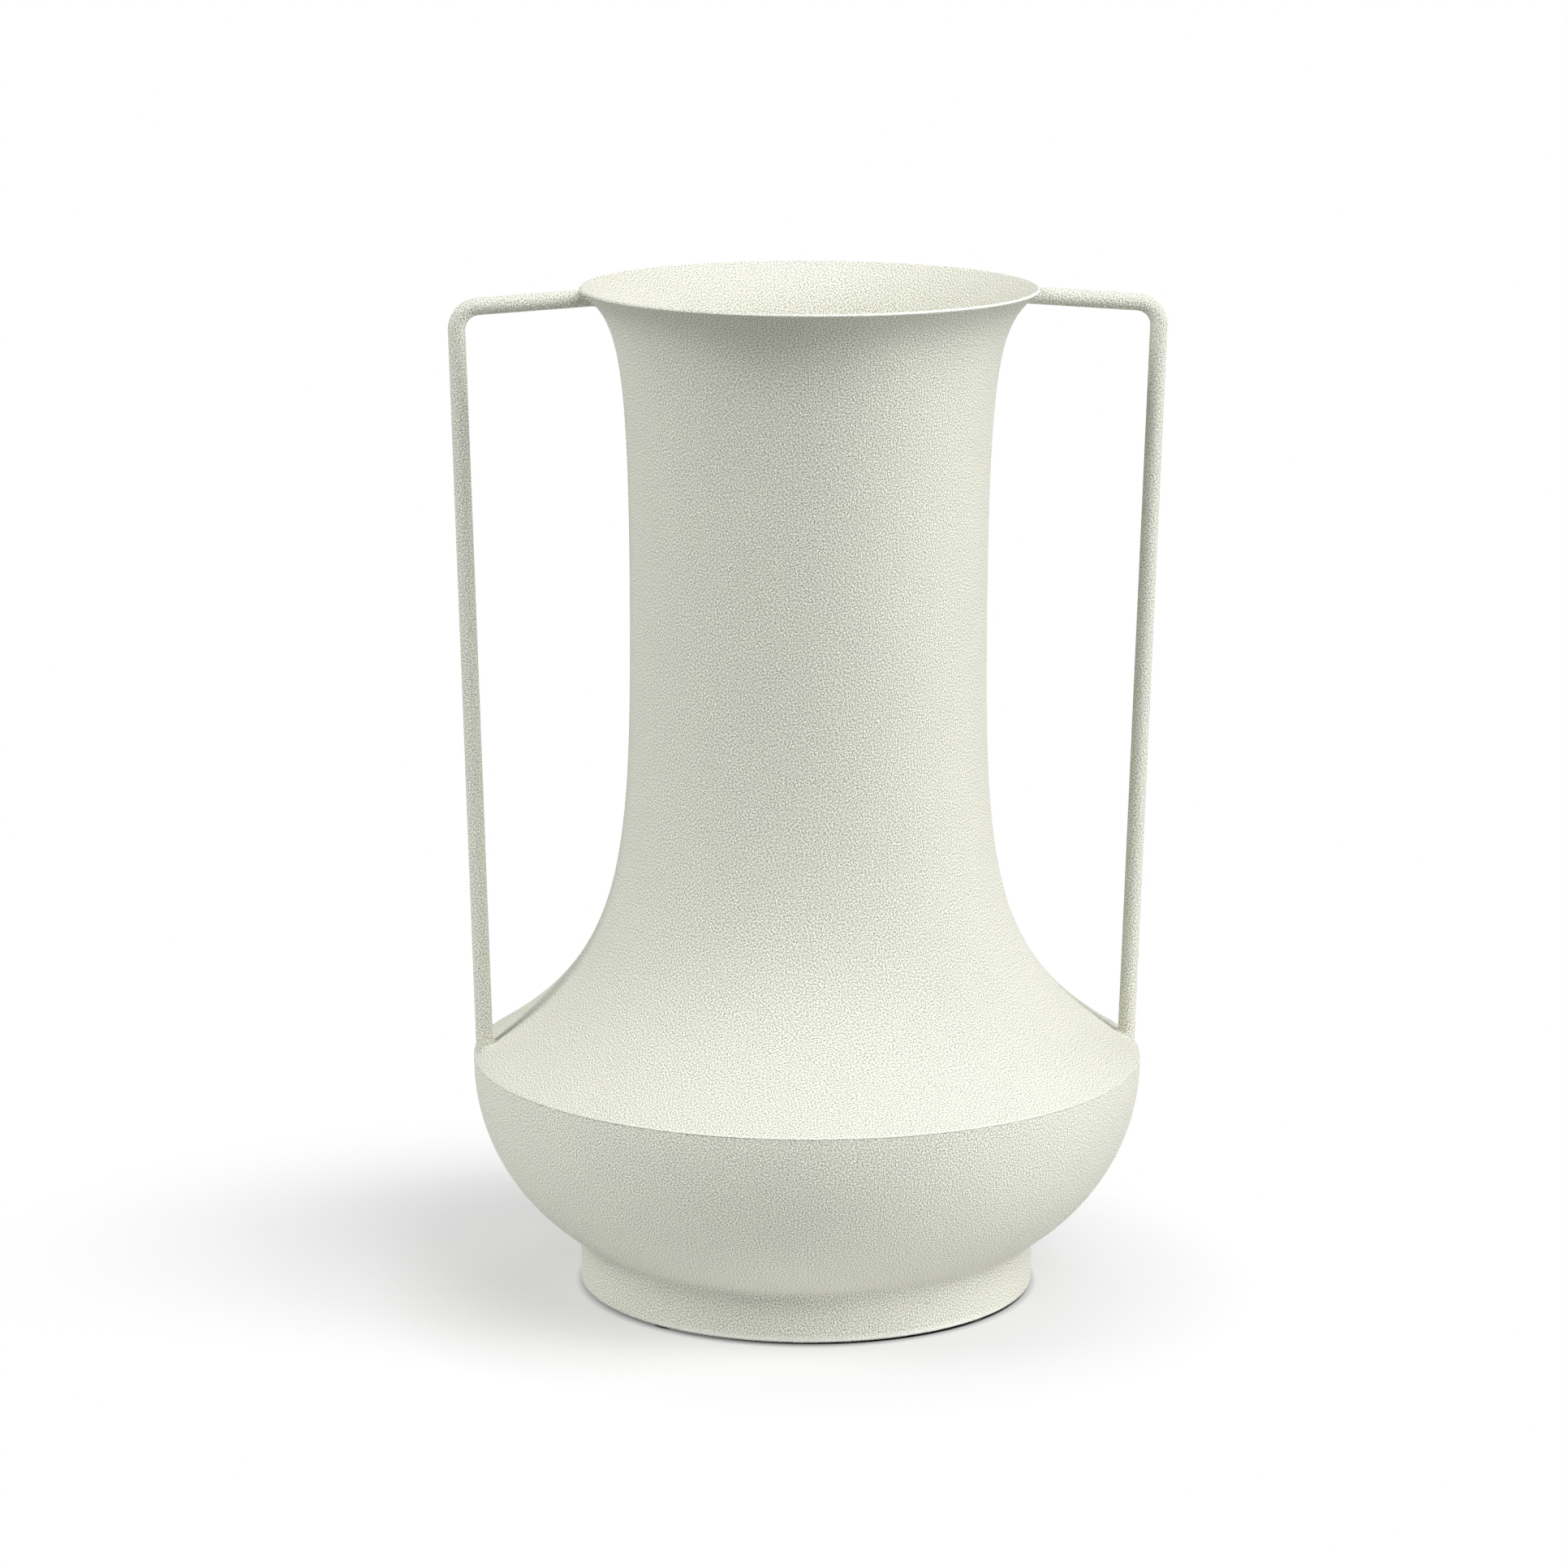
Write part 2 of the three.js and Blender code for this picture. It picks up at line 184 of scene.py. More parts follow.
patches = fill(add_node(tree, "ShaderNodeTexNoise"), Scale=PATCHES_PER_METRE, Detail=0.0)
clouds = fill(add_node(tree, "ShaderNodeTexNoise"), Scale=CLOUDS_PER_METRE, Detail=1.0, Roughness=0.5)
speck = fill(add_node(tree, "ShaderNodeTexVoronoi"), Scale=SPECKS_PER_METRE, Randomness=1.0)
for texture in (patches, clouds, speck):
    tree.links.new(place.outputs["Object"], texture.inputs["Vector"])

contrast = add_node(tree, "ShaderNodeMapRange")
fill(contrast, From_Min=MID_NOISE - PATCH_SPREAD, From_Max=MID_NOISE + PATCH_SPREAD)
fill(contrast, To_Min=CONTRAST_LEAST, To_Max=CONTRAST_MOST)
tree.links.new(patches.outputs["Fac"], contrast.inputs["Value"])
sandy = add_node(tree, "ShaderNodeMath", operation="MULTIPLY_ADD")
sandy.inputs[2].default_value = MID_NOISE
tree.links.new(crisp, sandy.inputs[0])
tree.links.new(contrast.outputs["Result"], sandy.inputs[1])
grain_tone = add_node(tree, "ShaderNodeValToRGB")
grain_tone.color_ramp.elements[0].position = MID_NOISE - TONE_SPREAD
grain_tone.color_ramp.elements[0].color = [value * TONE_DARK for value in COAT_COLOUR] + [1.0]
grain_tone.color_ramp.elements[1].position = MID_NOISE + TONE_SPREAD
grain_tone.color_ramp.elements[1].color = [min(1.0, value * TONE_PALE) for value in COAT_COLOUR] + [1.0]
tree.links.new(sandy.outputs["Value"], grain_tone.inputs["Fac"])

cloud_tone = add_node(tree, "ShaderNodeValToRGB")
cloud_tone.color_ramp.elements[0].position = MID_NOISE - CLOUD_SPREAD
cloud_tone.color_ramp.elements[0].color = CLOUD_DARK
cloud_tone.color_ramp.elements[1].position = MID_NOISE + CLOUD_SPREAD
cloud_tone.color_ramp.elements[1].color = CLOUD_PALE
tree.links.new(clouds.outputs["Fac"], cloud_tone.inputs["Fac"])

clouded = add_node(tree, "ShaderNodeMix", data_type="RGBA", blend_type="MULTIPLY")
clouded.inputs["Factor"].default_value = 1.0
tree.links.new(grain_tone.outputs["Color"], clouded.inputs["A"])
tree.links.new(cloud_tone.outputs["Color"], clouded.inputs["B"])

speck_mask = add_node(tree, "ShaderNodeMapRange")
speck_size = SPECK_MM * MM * SPECKS_PER_METRE
fill(speck_mask, From_Min=speck_size * SPECK_CORE, From_Max=speck_size)
tree.links.new(speck.outputs["Distance"], speck_mask.inputs["Value"])
speckled = add_node(tree, "ShaderNodeMix", data_type="RGBA")
tree.links.new(speck_mask.outputs["Result"], speckled.inputs["Factor"])
speckled.inputs["A"].default_value = SPECK_COLOUR
tree.links.new(clouded.outputs["Result"], speckled.inputs["B"])
print("nodes in the grain and its colours:", len(tree.nodes))

# %% [markdown]
# ## Painted edge highlights
#
# Along an edge the light catches the coat, so the lip, the seam and the foot each show a fine pale line
# on the side that faces the lamps. Here that line is a painted highlight. It could be laid on as a thin
# strip, but it would stand off the sheet. Instead each of those pieces will carry a number at every
# point, and the coat reads it: at one it is painted pale, at zero it is plain, and a piece without the
# number stays plain all over.

# %% Painted edge highlights on the powder coat
EDGE_HIGHLIGHT_COLOUR = (0.97, 0.97, 0.94, 1.0)
EDGE_HIGHLIGHT_MARK = "painted_edge_highlight"

# Painted highlight: where a piece is marked, the coat is painted pale along its edge.
highlight_share = add_node(tree, "ShaderNodeAttribute", attribute_name=EDGE_HIGHLIGHT_MARK)
highlighted = add_node(tree, "ShaderNodeMix", data_type="RGBA")
tree.links.new(highlight_share.outputs["Fac"], highlighted.inputs["Factor"])
tree.links.new(speckled.outputs["Result"], highlighted.inputs["A"])
highlighted.inputs["B"].default_value = EDGE_HIGHLIGHT_COLOUR
tree.links.new(highlighted.outputs["Result"], coat_shader.inputs["Base Color"])
print("the coat reads", highlight_share.attribute_name)

# %% [markdown]
# ## Relief
#
# The grains stand up from the skin, so they also catch light on one side, and their tops are rubbed a
# little smoother than the hollows. They are far too small to model, so a finer noise drives the
# roughness and a bump. The shape of every piece is real geometry, and only this last sandiness is bump.

# %% Roughness and relief of the powder coat
BUMPS_PER_METRE = 1700.0
BUMP_HEIGHT_MM = 0.24
BUMP_SPREAD = 0.25
HOLLOW_ROUGH = 0.82
TOP_ROUGH = 0.62
SHEEN = 0.12

bumps = fill(add_node(tree, "ShaderNodeTexNoise"), Scale=BUMPS_PER_METRE, Detail=0.0)
tree.links.new(place.outputs["Object"], bumps.inputs["Vector"])
gloss = add_node(tree, "ShaderNodeMapRange")
fill(gloss, From_Min=MID_NOISE - BUMP_SPREAD, From_Max=MID_NOISE + BUMP_SPREAD)
fill(gloss, To_Min=HOLLOW_ROUGH, To_Max=TOP_ROUGH)
tree.links.new(bumps.outputs["Fac"], gloss.inputs["Value"])
tree.links.new(gloss.outputs["Result"], coat_shader.inputs["Roughness"])
relief = fill(add_node(tree, "ShaderNodeBump"), Strength=1.0, Distance=BUMP_HEIGHT_MM * MM)
tree.links.new(bumps.outputs["Fac"], relief.inputs["Height"])
tree.links.new(relief.outputs["Normal"], coat_shader.inputs["Normal"])
coat_shader.inputs["Specular IOR Level"].default_value = SHEEN
print("powder coat nodes:", len(tree.nodes))

# %% [markdown]
# ## The lathe
#
# Neck, bowl, foot and two of the welds are all round, so one tool makes them: a profile drawn as a
# line of edges, carried once round the axis. The Spin operator or a Screw modifier could do it.
# A Geometry Nodes tree keeps the number of steps as a named input and is shared by every round piece:
# the profile becomes a curve, a small circle is the path, and Curve to Mesh sweeps one along the other.

# %% A tree that turns a profile
HUB_MM = 5.0
SAME_POINT = 1e-7
CORNER_ANGLE = math.radians(40)


def start_tree(name, sizes):
    """A Geometry Nodes tree with named inputs, and the identifiers that the inputs are set by."""
    tree = bpy.data.node_groups.new(name, "GeometryNodeTree")
    tree.interface.new_socket("Guide", in_out="INPUT", socket_type="NodeSocketGeometry")
    keys = {}
    for label, kind in sizes:
        socket = tree.interface.new_socket(label, in_out="INPUT", socket_type="NodeSocket" + kind)
        keys[label] = socket.identifier
    tree.interface.new_socket("Piece", in_out="OUTPUT", socket_type="NodeSocketGeometry")
    return tree, keys


def finish_tree(tree, shape, inputs):
    """Ends a tree: smooth faces with sharp corners, real geometry, and the finish on it."""
    smooth = add_node(tree, "GeometryNodeSetShadeSmooth")
    fold = add_node(tree, "GeometryNodeInputMeshEdgeAngle")
    is_corner = add_node(tree, "FunctionNodeCompare", operation="GREATER_THAN")
    is_corner.inputs["B"].default_value = CORNER_ANGLE
    sharp = fill(add_node(tree, "GeometryNodeSetShadeSmooth", domain="EDGE"), Shade_Smooth=False)
    real = add_node(tree, "GeometryNodeRealizeInstances")
    coat = add_node(tree, "GeometryNodeSetMaterial")
    result = add_node(tree, "NodeGroupOutput")
    tree.links.new(shape, smooth.inputs["Geometry"])
    tree.links.new(smooth.outputs["Geometry"], sharp.inputs["Geometry"])
    tree.links.new(fold.outputs["Unsigned Angle"], is_corner.inputs["A"])
    tree.links.new(is_corner.outputs["Result"], sharp.inputs["Selection"])
    tree.links.new(sharp.outputs["Geometry"], real.inputs["Geometry"])
    tree.links.new(real.outputs["Geometry"], coat.inputs["Geometry"])
    tree.links.new(inputs.outputs["Finish"], coat.inputs["Material"])
    tree.links.new(coat.outputs["Geometry"], result.inputs["Piece"])


lathe, lathe_keys = start_tree("turn_a_profile", [("Steps round", "Int"), ("Finish", "Material")])
inputs = add_node(lathe, "NodeGroupInput")
profile = add_node(lathe, "GeometryNodeMeshToCurve")
hub = fill(add_node(lathe, "GeometryNodeCurvePrimitiveCircle", mode="RADIUS"), Radius=HUB_MM * MM)
upright = add_node(lathe, "GeometryNodeSetCurveNormal", mode="Z_UP")
sweep = add_node(lathe, "GeometryNodeCurveToMesh")
weld_poles = fill(add_node(lathe, "GeometryNodeMergeByDistance"), Distance=SAME_POINT)
lathe.links.new(inputs.outputs["Guide"], profile.inputs["Mesh"])
lathe.links.new(inputs.outputs["Steps round"], hub.inputs["Resolution"])
lathe.links.new(hub.outputs["Curve"], upright.inputs["Curve"])
lathe.links.new(upright.outputs["Curve"], sweep.inputs["Curve"])
lathe.links.new(profile.outputs["Curve"], sweep.inputs["Profile Curve"])
lathe.links.new(sweep.outputs["Mesh"], weld_poles.inputs["Geometry"])
finish_tree(lathe, weld_poles.outputs["Geometry"], inputs)
print("lathe nodes:", len(lathe.nodes))

# %% Turn a profile into a finished mesh
CM3_PER_M3 = 1e6
ROUND_STEPS = 224


def line_mesh(name, points, closed):
    """A mesh of edges only, through points in metres."""
    count = len(points)
    edges = [(i, i + 1) for i in range(count - 1)]
    if closed:
        edges.append((count - 1, 0))
    mesh = bpy.data.meshes.new(name)
    mesh.from_pydata(points, edges, [])
    return mesh


def grow(name, guide, tree, keys, **sizes):
    """Runs a tree on a guide mesh and keeps what it makes as a plain mesh object at the origin."""
    seed = bpy.data.objects.new(name + ".guide", guide)
    bpy.context.scene.collection.objects.link(seed)
    modifier = seed.modifiers.new("grow", "NODES")
    modifier.node_group = tree
    for label, value in sizes.items():
        modifier[keys[label.replace("_", " ")]] = value
    evaluated = seed.evaluated_get(bpy.context.evaluated_depsgraph_get())
    mesh = bpy.data.meshes.new_from_object(evaluated)
    mesh.name = name
    bpy.data.objects.remove(seed)
    bpy.data.meshes.remove(guide)
    piece = bpy.data.objects.new(name, mesh)
    bpy.context.scene.collection.objects.link(piece)
    return piece


def outward(piece):
    """Makes a closed mesh's faces point out, and returns its volume in cubic centimetres."""
    mesh = bmesh.new()
    mesh.from_mesh(piece.data)
    if mesh.calc_volume(signed=True) < 0:
        bmesh.ops.reverse_faces(mesh, faces=mesh.faces)
    volume = mesh.calc_volume(signed=True)
    mesh.to_mesh(piece.data)
    mesh.free()
    return volume * CM3_PER_M3


def settle(piece, slot, *nodes):
    """Gives a finished piece its place in the model: its body and the nodes it stands for. Its slot is not
    used.
    """
    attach(piece, "root")
    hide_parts(*nodes)
    triangles = sum(len(face.vertices) - 2 for face in piece.data.polygons)
    print(piece.name, "triangles", triangles, "stands for", ", ".join(nodes))


def paint_edge_highlight(piece, spot, reach, strength, bearing, swing):
    """Paints a highlight into the coat: pale near a spot of the profile, within a swing of a bearing."""
    mesh = piece.data
    nothing = math.cos(swing)
    most = math.cos(swing / 2)
    marks = mesh.attributes.new(EDGE_HIGHLIGHT_MARK, "FLOAT", "POINT")
    for vertex, mark in zip(mesh.vertices, marks.data):
        x, y, z = vertex.co / MM
        radius = math.hypot(x, y)
        gap = (Vector((radius, z)) - spot).length
        facing = 0.0 if radius == 0.0 else (x * math.sin(bearing) - y * math.cos(bearing)) / radius
        share = min(1.0, max(0.0, (facing - nothing) / (most - nothing)))
        mark.value = strength * share * max(0.0, 1.0 - gap / reach)


def turn(name, outline, closed=True, steps=ROUND_STEPS, finish=powder_coat):
    """A round piece from an outline of (radius, height) points in millimetres.

    Curve to Mesh lays a profile's X away from the hub and its Y downwards, so heights change sign.
    """
    points = [((radius - HUB_MM) * MM, -height * MM, 0.0) for radius, height in outline]
    guide = line_mesh(name + ".line", points, closed)
    piece = grow(name, guide, lathe, lathe_keys, Steps_round=steps, Finish=finish)
    print(name, "volume %.1f cm3" % outward(piece))
    return piece


# %% [markdown]
# ## The neck
#
# The neck is one disc of 1 mm steel sheet, spun over a former: from the sheared lip, down the flare to
# the waist, and out again to the shoulder. Two Bezier curves that share an upright tangent at the waist
# give that line from a handful of sizes, and the inside is the same line moved in by the sheet.

# %% Curves of the neck
SHEET = 1.0
HEIGHT = 355.8
LIP_RADIUS = 79.4
LIP_FLARE = math.radians(49)
WAIST_RADIUS = 62.3
WAIST_HEIGHT = 238.0
SHOULDER_RADIUS = 118.0
SHOULDER_HEIGHT = 84.4
SHOULDER_FALL = math.radians(31.4)
LIP_PULL = 0.148
WAIST_PULL_UP = 0.84
WAIST_PULL_DOWN = 0.61
SHOULDER_PULL = 0.392


def toward(angle):
    """A unit vector in the plane of a profile, by its angle above the outward direction."""
    return Vector((math.cos(angle), math.sin(angle)))


lip = Vector((LIP_RADIUS, HEIGHT - SHEET * math.sin(LIP_FLARE)))
waist = Vector((WAIST_RADIUS, WAIST_HEIGHT))
edge = Vector((SHOULDER_RADIUS, SHOULDER_HEIGHT))
skirt_climb = WAIST_HEIGHT - SHOULDER_HEIGHT
flare_climb = lip.y - WAIST_HEIGHT
up_shoulder = toward(math.pi - SHOULDER_FALL)
off_shoulder = toward(math.pi / 2 - SHOULDER_FALL)
down_lip = toward(-math.pi / 2 - LIP_FLARE)
skirt = (
    edge,
    edge + up_shoulder * (SHOULDER_PULL * skirt_climb),
    Vector((WAIST_RADIUS, WAIST_HEIGHT - WAIST_PULL_DOWN * skirt_climb)),
    waist,
)
flare = (
    waist,
    Vector((WAIST_RADIUS, WAIST_HEIGHT + WAIST_PULL_UP * flare_climb)),
    lip + down_lip * (LIP_PULL * flare_climb),
    lip,
)


def bezier(curve, t):
    """Point and unit tangent of a cubic Bezier curve."""
    a, b, c, d = curve
    s = 1 - t
    point = a * s**3 + b * (3 * s * s * t) + c * (3 * s * t * t) + d * t**3
    along = (b - a) * (s * s) + (c - b) * (2 * s * t) + (d - c) * (t * t)
    return point, along.normalized()


def neck_face(outside, first=0.0, steps=72):
    """Points up the neck, from the shoulder to the lip, at a distance outside the sheet's outer face."""
    stations = [(skirt, first + (1 - first) * i / steps) for i in range(steps)]
    stations += [(flare, i / steps) for i in range(steps + 1)]
    points = []
    for curve, t in stations:
        point, along = bezier(curve, t)
        points.append(point + Vector((along.y, -along.x)) * outside)
    return points


print("skirt climbs %.1f mm, flare climbs %.1f mm" % (skirt_climb, flare_climb))

# %% Turn the neck
LIP_EDGE_ROUND = 0.2
LIP_HIGHLIGHT_REACH = 0.75
LIP_HIGHLIGHT = 1.0
LIP_HIGHLIGHT_BEARING = math.radians(60)
LIP_HIGHLIGHT_SWING = math.radians(90)
SEAM_GROOVE = 2.0
CORNER_STEPS = 5


def rounded(before, corner, after, radius, steps=CORNER_STEPS):
    """Points of an arc that takes a corner off an outline."""
    back = (before - corner).normalized()
    ahead = (after - corner).normalized()
    half = back.angle(ahead) / 2
    setback = radius / math.tan(half)
    centre = corner + (back + ahead).normalized() * (radius / math.sin(half))
    start = corner + back * setback - centre
    stop = corner + ahead * setback - centre
    turn_angle = start.angle_signed(stop)
    return [centre + Matrix.Rotation(-turn_angle * i / steps, 2) @ start for i in range(steps + 1)]


groove_start = SEAM_GROOVE / (3 * SHOULDER_PULL * skirt_climb)
outer_face = neck_face(0.0, groove_start)
inner_face = neck_face(-SHEET, groove_start)
lip_outer = rounded(outer_face[-2], outer_face[-1], inner_face[-1], LIP_EDGE_ROUND)
lip_inner = rounded(outer_face[-1], inner_face[-1], inner_face[-2], LIP_EDGE_ROUND)
neck_outline = outer_face[:-1] + lip_outer + lip_inner + inner_face[-2::-1]
neck = turn("neck_spun_sheet", neck_outline)
lip_middle = (outer_face[-1] + inner_face[-1]) / 2
# Painted highlight along the lip's edge, strongest on the side toward the right-hand lamps.
paint_edge_highlight(neck, lip_middle, LIP_HIGHLIGHT_REACH, LIP_HIGHLIGHT, LIP_HIGHLIGHT_BEARING, LIP_HIGHLIGHT_SWING)
settle(neck, "powder_coat", "neck_shell")

# %% [markdown]
# ## The bowl
#
# Below the seam is a second sheet, pressed to a bowl. Its wall is a quarter of an ellipse from a flat
# middle to the widest point, and its rim folds in under the shoulder, where only a look down the neck
# finds it. The flat middle can't be seen from the front, but it closes the vase, so it is all there.

# %% Turn the bowl
FLAT_RADIUS = 41.3
BOWL_LIFT = 8.7
FOLD_OUTSIDE = 1.5
FOLD_INSIDE = 0.5
FLANGE = 8.0
CLEARANCE = 0.3
FLANGE_END_ROUND = 0.3
FLOOR_RINGS = [0.0, 8.0, 18.0, 30.0]
WALL_STEPS_OUTSIDE = 84
WALL_STEPS_INSIDE = 72
FOLD_STEPS = 6

fold_turn = math.pi / 2 - SHOULDER_FALL
rim_corner = Vector((SHOULDER_RADIUS, SHOULDER_HEIGHT - (SHEET + CLEARANCE) / math.cos(SHOULDER_FALL)))
wall_top = rim_corner.y - FOLD_OUTSIDE * math.tan(fold_turn / 2)
bowl_across = SHOULDER_RADIUS - FLAT_RADIUS
bowl_depth = wall_top - BOWL_LIFT
fold_centre = Vector((SHOULDER_RADIUS - FOLD_OUTSIDE, wall_top))


def arc(centre, across, up, start, stop, steps):
    """Points along an elliptical arc of a profile, both ends included."""
    turns = [start + (stop - start) * i / steps for i in range(steps + 1)]
    return [centre + Vector((across * math.cos(a), up * math.sin(a))) for a in turns]


bowl_centre = Vector((FLAT_RADIUS, wall_top))
outside_floor = [Vector((radius, BOWL_LIFT)) for radius in FLOOR_RINGS]
inside_floor = [Vector((radius, BOWL_LIFT + SHEET)) for radius in reversed(FLOOR_RINGS)]
wall_outside = arc(bowl_centre, bowl_across, bowl_depth, -math.pi / 2, 0.0, WALL_STEPS_OUTSIDE)
inside_across = bowl_across - SHEET
inside_depth = bowl_depth - SHEET
wall_inside = arc(bowl_centre, inside_across, inside_depth, 0.0, -math.pi / 2, WALL_STEPS_INSIDE)
fold_outside = arc(fold_centre, FOLD_OUTSIDE, FOLD_OUTSIDE, 0.0, fold_turn, FOLD_STEPS)
fold_inside = arc(fold_centre, FOLD_INSIDE, FOLD_INSIDE, fold_turn, 0.0, FOLD_STEPS)
flange_top = rim_corner + up_shoulder * FLANGE
flange_under = flange_top - off_shoulder * SHEET
flange_end = rounded(fold_outside[-1], flange_top, flange_under, FLANGE_END_ROUND)
flange_end += rounded(flange_top, flange_under, fold_inside[0], FLANGE_END_ROUND)
bowl_outline = outside_floor + wall_outside + fold_outside[1:] + flange_end
bowl_outline += fold_inside + wall_inside[1:] + inside_floor
bowl = turn("bowl_pressed_sheet", bowl_outline, closed=False)
settle(bowl, "powder_coat", "bowl_shell")

# %% [markdown]
# ## The seam
#
# Neck and bowl are welded all along the widest edge, and the bead is dressed flush, so that only a
# crisp line is left. It could be a line of dark colour, but that would stay when the light moves. It is
# a small rounded nose, flush with the shoulder above, and a hairline undercut below it that keeps its
# own shade before the bowl goes on down.

# %% Turn the seam bead
SEAM_ROUND = 0.2
SEAM_PROUD = 0.01
SEAM_DIVE = 0.04
SEAM_LAP = (0.9, 1.7, 3.2)
SEAM_ROOT = (0.5, 1.2)
SEAM_SKIRT = 2.5
SEAM_SKIRT_IN = (0.1, 0.6)
SEAM_STEPS = 288
NOSE_STEPS = 8
SEAM_HIGHLIGHT_RUN = 0.1
SEAM_HIGHLIGHT_REACH = 0.6
SEAM_HIGHLIGHT = 0.4
FRONT_BEARING = math.radians(3)
FRONT_SWING = math.radians(60)
NOSE_DROP = 0.3
UNDERCUT = 0.35


def on_shoulder(run, above):
    """A point a distance up the shoulder from its edge, and a distance off its face."""
    return edge + up_shoulder * run + off_shoulder * above


seam_foot = Vector((SHOULDER_RADIUS, wall_top))
under_nose = edge + Vector((0.0, -NOSE_DROP))
nose = rounded(under_nose, edge, edge + up_shoulder, SEAM_ROUND, steps=NOSE_STEPS)
low_outside, low_inside = [
    Vector((SHOULDER_RADIUS - inset, wall_top - SEAM_SKIRT)) for inset in SEAM_SKIRT_IN
]
lap_start, lap_middle, lap_end = SEAM_LAP
root_end, root_middle = SEAM_ROOT
seam_outline = [low_outside, seam_foot]
seam_outline += [under_nose + Vector((0.0, -UNDERCUT))]
seam_outline += [under_nose + Vector((-UNDERCUT, -UNDERCUT / 2)), under_nose]
seam_outline += nose
seam_outline += [on_shoulder(lap_start, SEAM_PROUD), on_shoulder(lap_middle, SEAM_PROUD)]
seam_outline += [on_shoulder(lap_end, -SEAM_DIVE)]
seam_outline += [on_shoulder(lap_end, -root_end), on_shoulder(lap_middle, -root_middle)]
seam_outline += [low_inside]
seam = turn("seam_weld_bead", seam_outline, steps=SEAM_STEPS)
highlight_spot = on_shoulder(SEAM_HIGHLIGHT_RUN, 0.0)
# Painted highlight along the seam's nose, on the front of the vase.
paint_edge_highlight(seam, highlight_spot, SEAM_HIGHLIGHT_REACH, SEAM_HIGHLIGHT, FRONT_BEARING, FRONT_SWING)
settle(seam, "powder_coat", "body_seam_weld")

# %% [markdown]
# ## The foot
#
# The bowl stands in a plain upright band, folded in at the bottom so that it doesn't stand on a raw
# edge. Where the band meets the bowl the photograph shows a soft dark crease and yet a nearly sharp
# corner at the sides, which is what a small concave fillet looks like: an arc that touches both.

# %% Turn the band of the foot
FOOT_RADIUS = 80.35
FOOT_FLANGE = 14.0
PAD_THICKNESS = 1.0
BAND_FOLD = 1.2
BAND_FOLD_INSIDE = 0.2
BAND_FOLD_STEPS = 8
BAND_RINGS = (3.0, 6.0, 9.0, 12.0)
FOOT_HIGHLIGHT_REACH = 0.55
FOOT_HIGHLIGHT = 1.0


def bowl_height(radius, outside):
    """Height of the surface that lies a distance outside the bowl, at a radius beyond its flat middle."""
    share = (radius - FLAT_RADIUS) / (bowl_across + outside)
    return wall_top - (bowl_depth + outside) * math.sqrt(1 - share * share)


band_inside = FOOT_RADIUS - SHEET
band_fold = Vector((FOOT_RADIUS - BAND_FOLD, PAD_THICKNESS + BAND_FOLD))
flange_radius = FOOT_RADIUS - FOOT_FLANGE
band_fold_outside = arc(band_fold, BAND_FOLD, BAND_FOLD, -math.pi / 2, 0.0, BAND_FOLD_STEPS)
band_fold_inside = arc(band_fold, BAND_FOLD_INSIDE, BAND_FOLD_INSIDE, 0.0, -math.pi / 2, FOLD_STEPS)
band_top = bowl_height(FOOT_RADIUS, 0.0)
band_rings = [Vector((FOOT_RADIUS, PAD_THICKNESS + height)) for height in BAND_RINGS]
flange_low = Vector((flange_radius, PAD_THICKNESS))
flange_high = Vector((flange_radius, PAD_THICKNESS + SHEET))
band_end = rounded(band_fold_inside[-1], flange_high, flange_low, FLANGE_END_ROUND)
band_end += rounded(flange_high, flange_low, band_fold_outside[0], FLANGE_END_ROUND)
band_outline = band_fold_outside + band_rings
band_outline += [Vector((FOOT_RADIUS, band_top)), Vector((band_inside, bowl_height(band_inside, 0.0)))]
band_outline += band_fold_inside + band_end
foot = turn("foot_band", band_outline)
# Painted highlight along the foot's folded edge, on the front of the vase.
paint_edge_highlight(foot, band_fold_outside[-2], FOOT_HIGHLIGHT_REACH, FOOT_HIGHLIGHT, FRONT_BEARING, FRONT_SWING)
settle(foot, "powder_coat", "foot_ring")

# %% Turn the fillet between the band and the bowl
FILLET_ROUND = 5.0
FILLET_DIVE = 0.06
FILLET_STEPS = 14
FILLET_SKIRT = 2.0
FILLET_ROOT = 0.4
FILLET_RUN = 0.025
HALVINGS = 40


def bowl_point(angle, outside=0.0):
    """Point of the bowl's outer face by the ellipse's angle, moved out along its normal."""
    point = bowl_centre + Vector((bowl_across * math.cos(angle), bowl_depth * math.sin(angle)))
    normal = Vector((math.cos(angle) / bowl_across, math.sin(angle) / bowl_depth)).normalized()
    return point + normal * outside


low = -math.pi / 2
high = 0.0
for _ in range(HALVINGS):
    middle = (low + high) / 2
    if bowl_point(middle, FILLET_ROUND).x < FOOT_RADIUS + FILLET_ROUND:
        low = middle
    else:
        high = middle
fillet_centre = bowl_point(low, FILLET_ROUND)
on_bowl = bowl_point(low) - fillet_centre
stop_angle = math.atan2(on_bowl.y, on_bowl.x)
fillet_face = arc(fillet_centre, FILLET_ROUND, FILLET_ROUND, math.pi, stop_angle, FILLET_STEPS)
fillet_foot = fillet_face[0].y - FILLET_SKIRT
fillet_outline = [Vector((FOOT_RADIUS - FILLET_DIVE, fillet_foot))]
fillet_outline += fillet_face
fillet_outline += [bowl_point(low + FILLET_RUN, -FILLET_DIVE), bowl_point(low + FILLET_RUN, -FILLET_ROOT)]
fillet_outline += [Vector((FOOT_RADIUS - FILLET_ROOT, bowl_height(FOOT_RADIUS, -FILLET_ROOT)))]
fillet_outline += [Vector((FOOT_RADIUS - FILLET_ROOT, fillet_foot))]
fillet = turn("foot_weld_fillet", fillet_outline)
settle(fillet, "powder_coat", "foot_weld")
print("fillet from height %.2f to %.2f" % (fillet_face[0].y, fillet_face[-1].y))

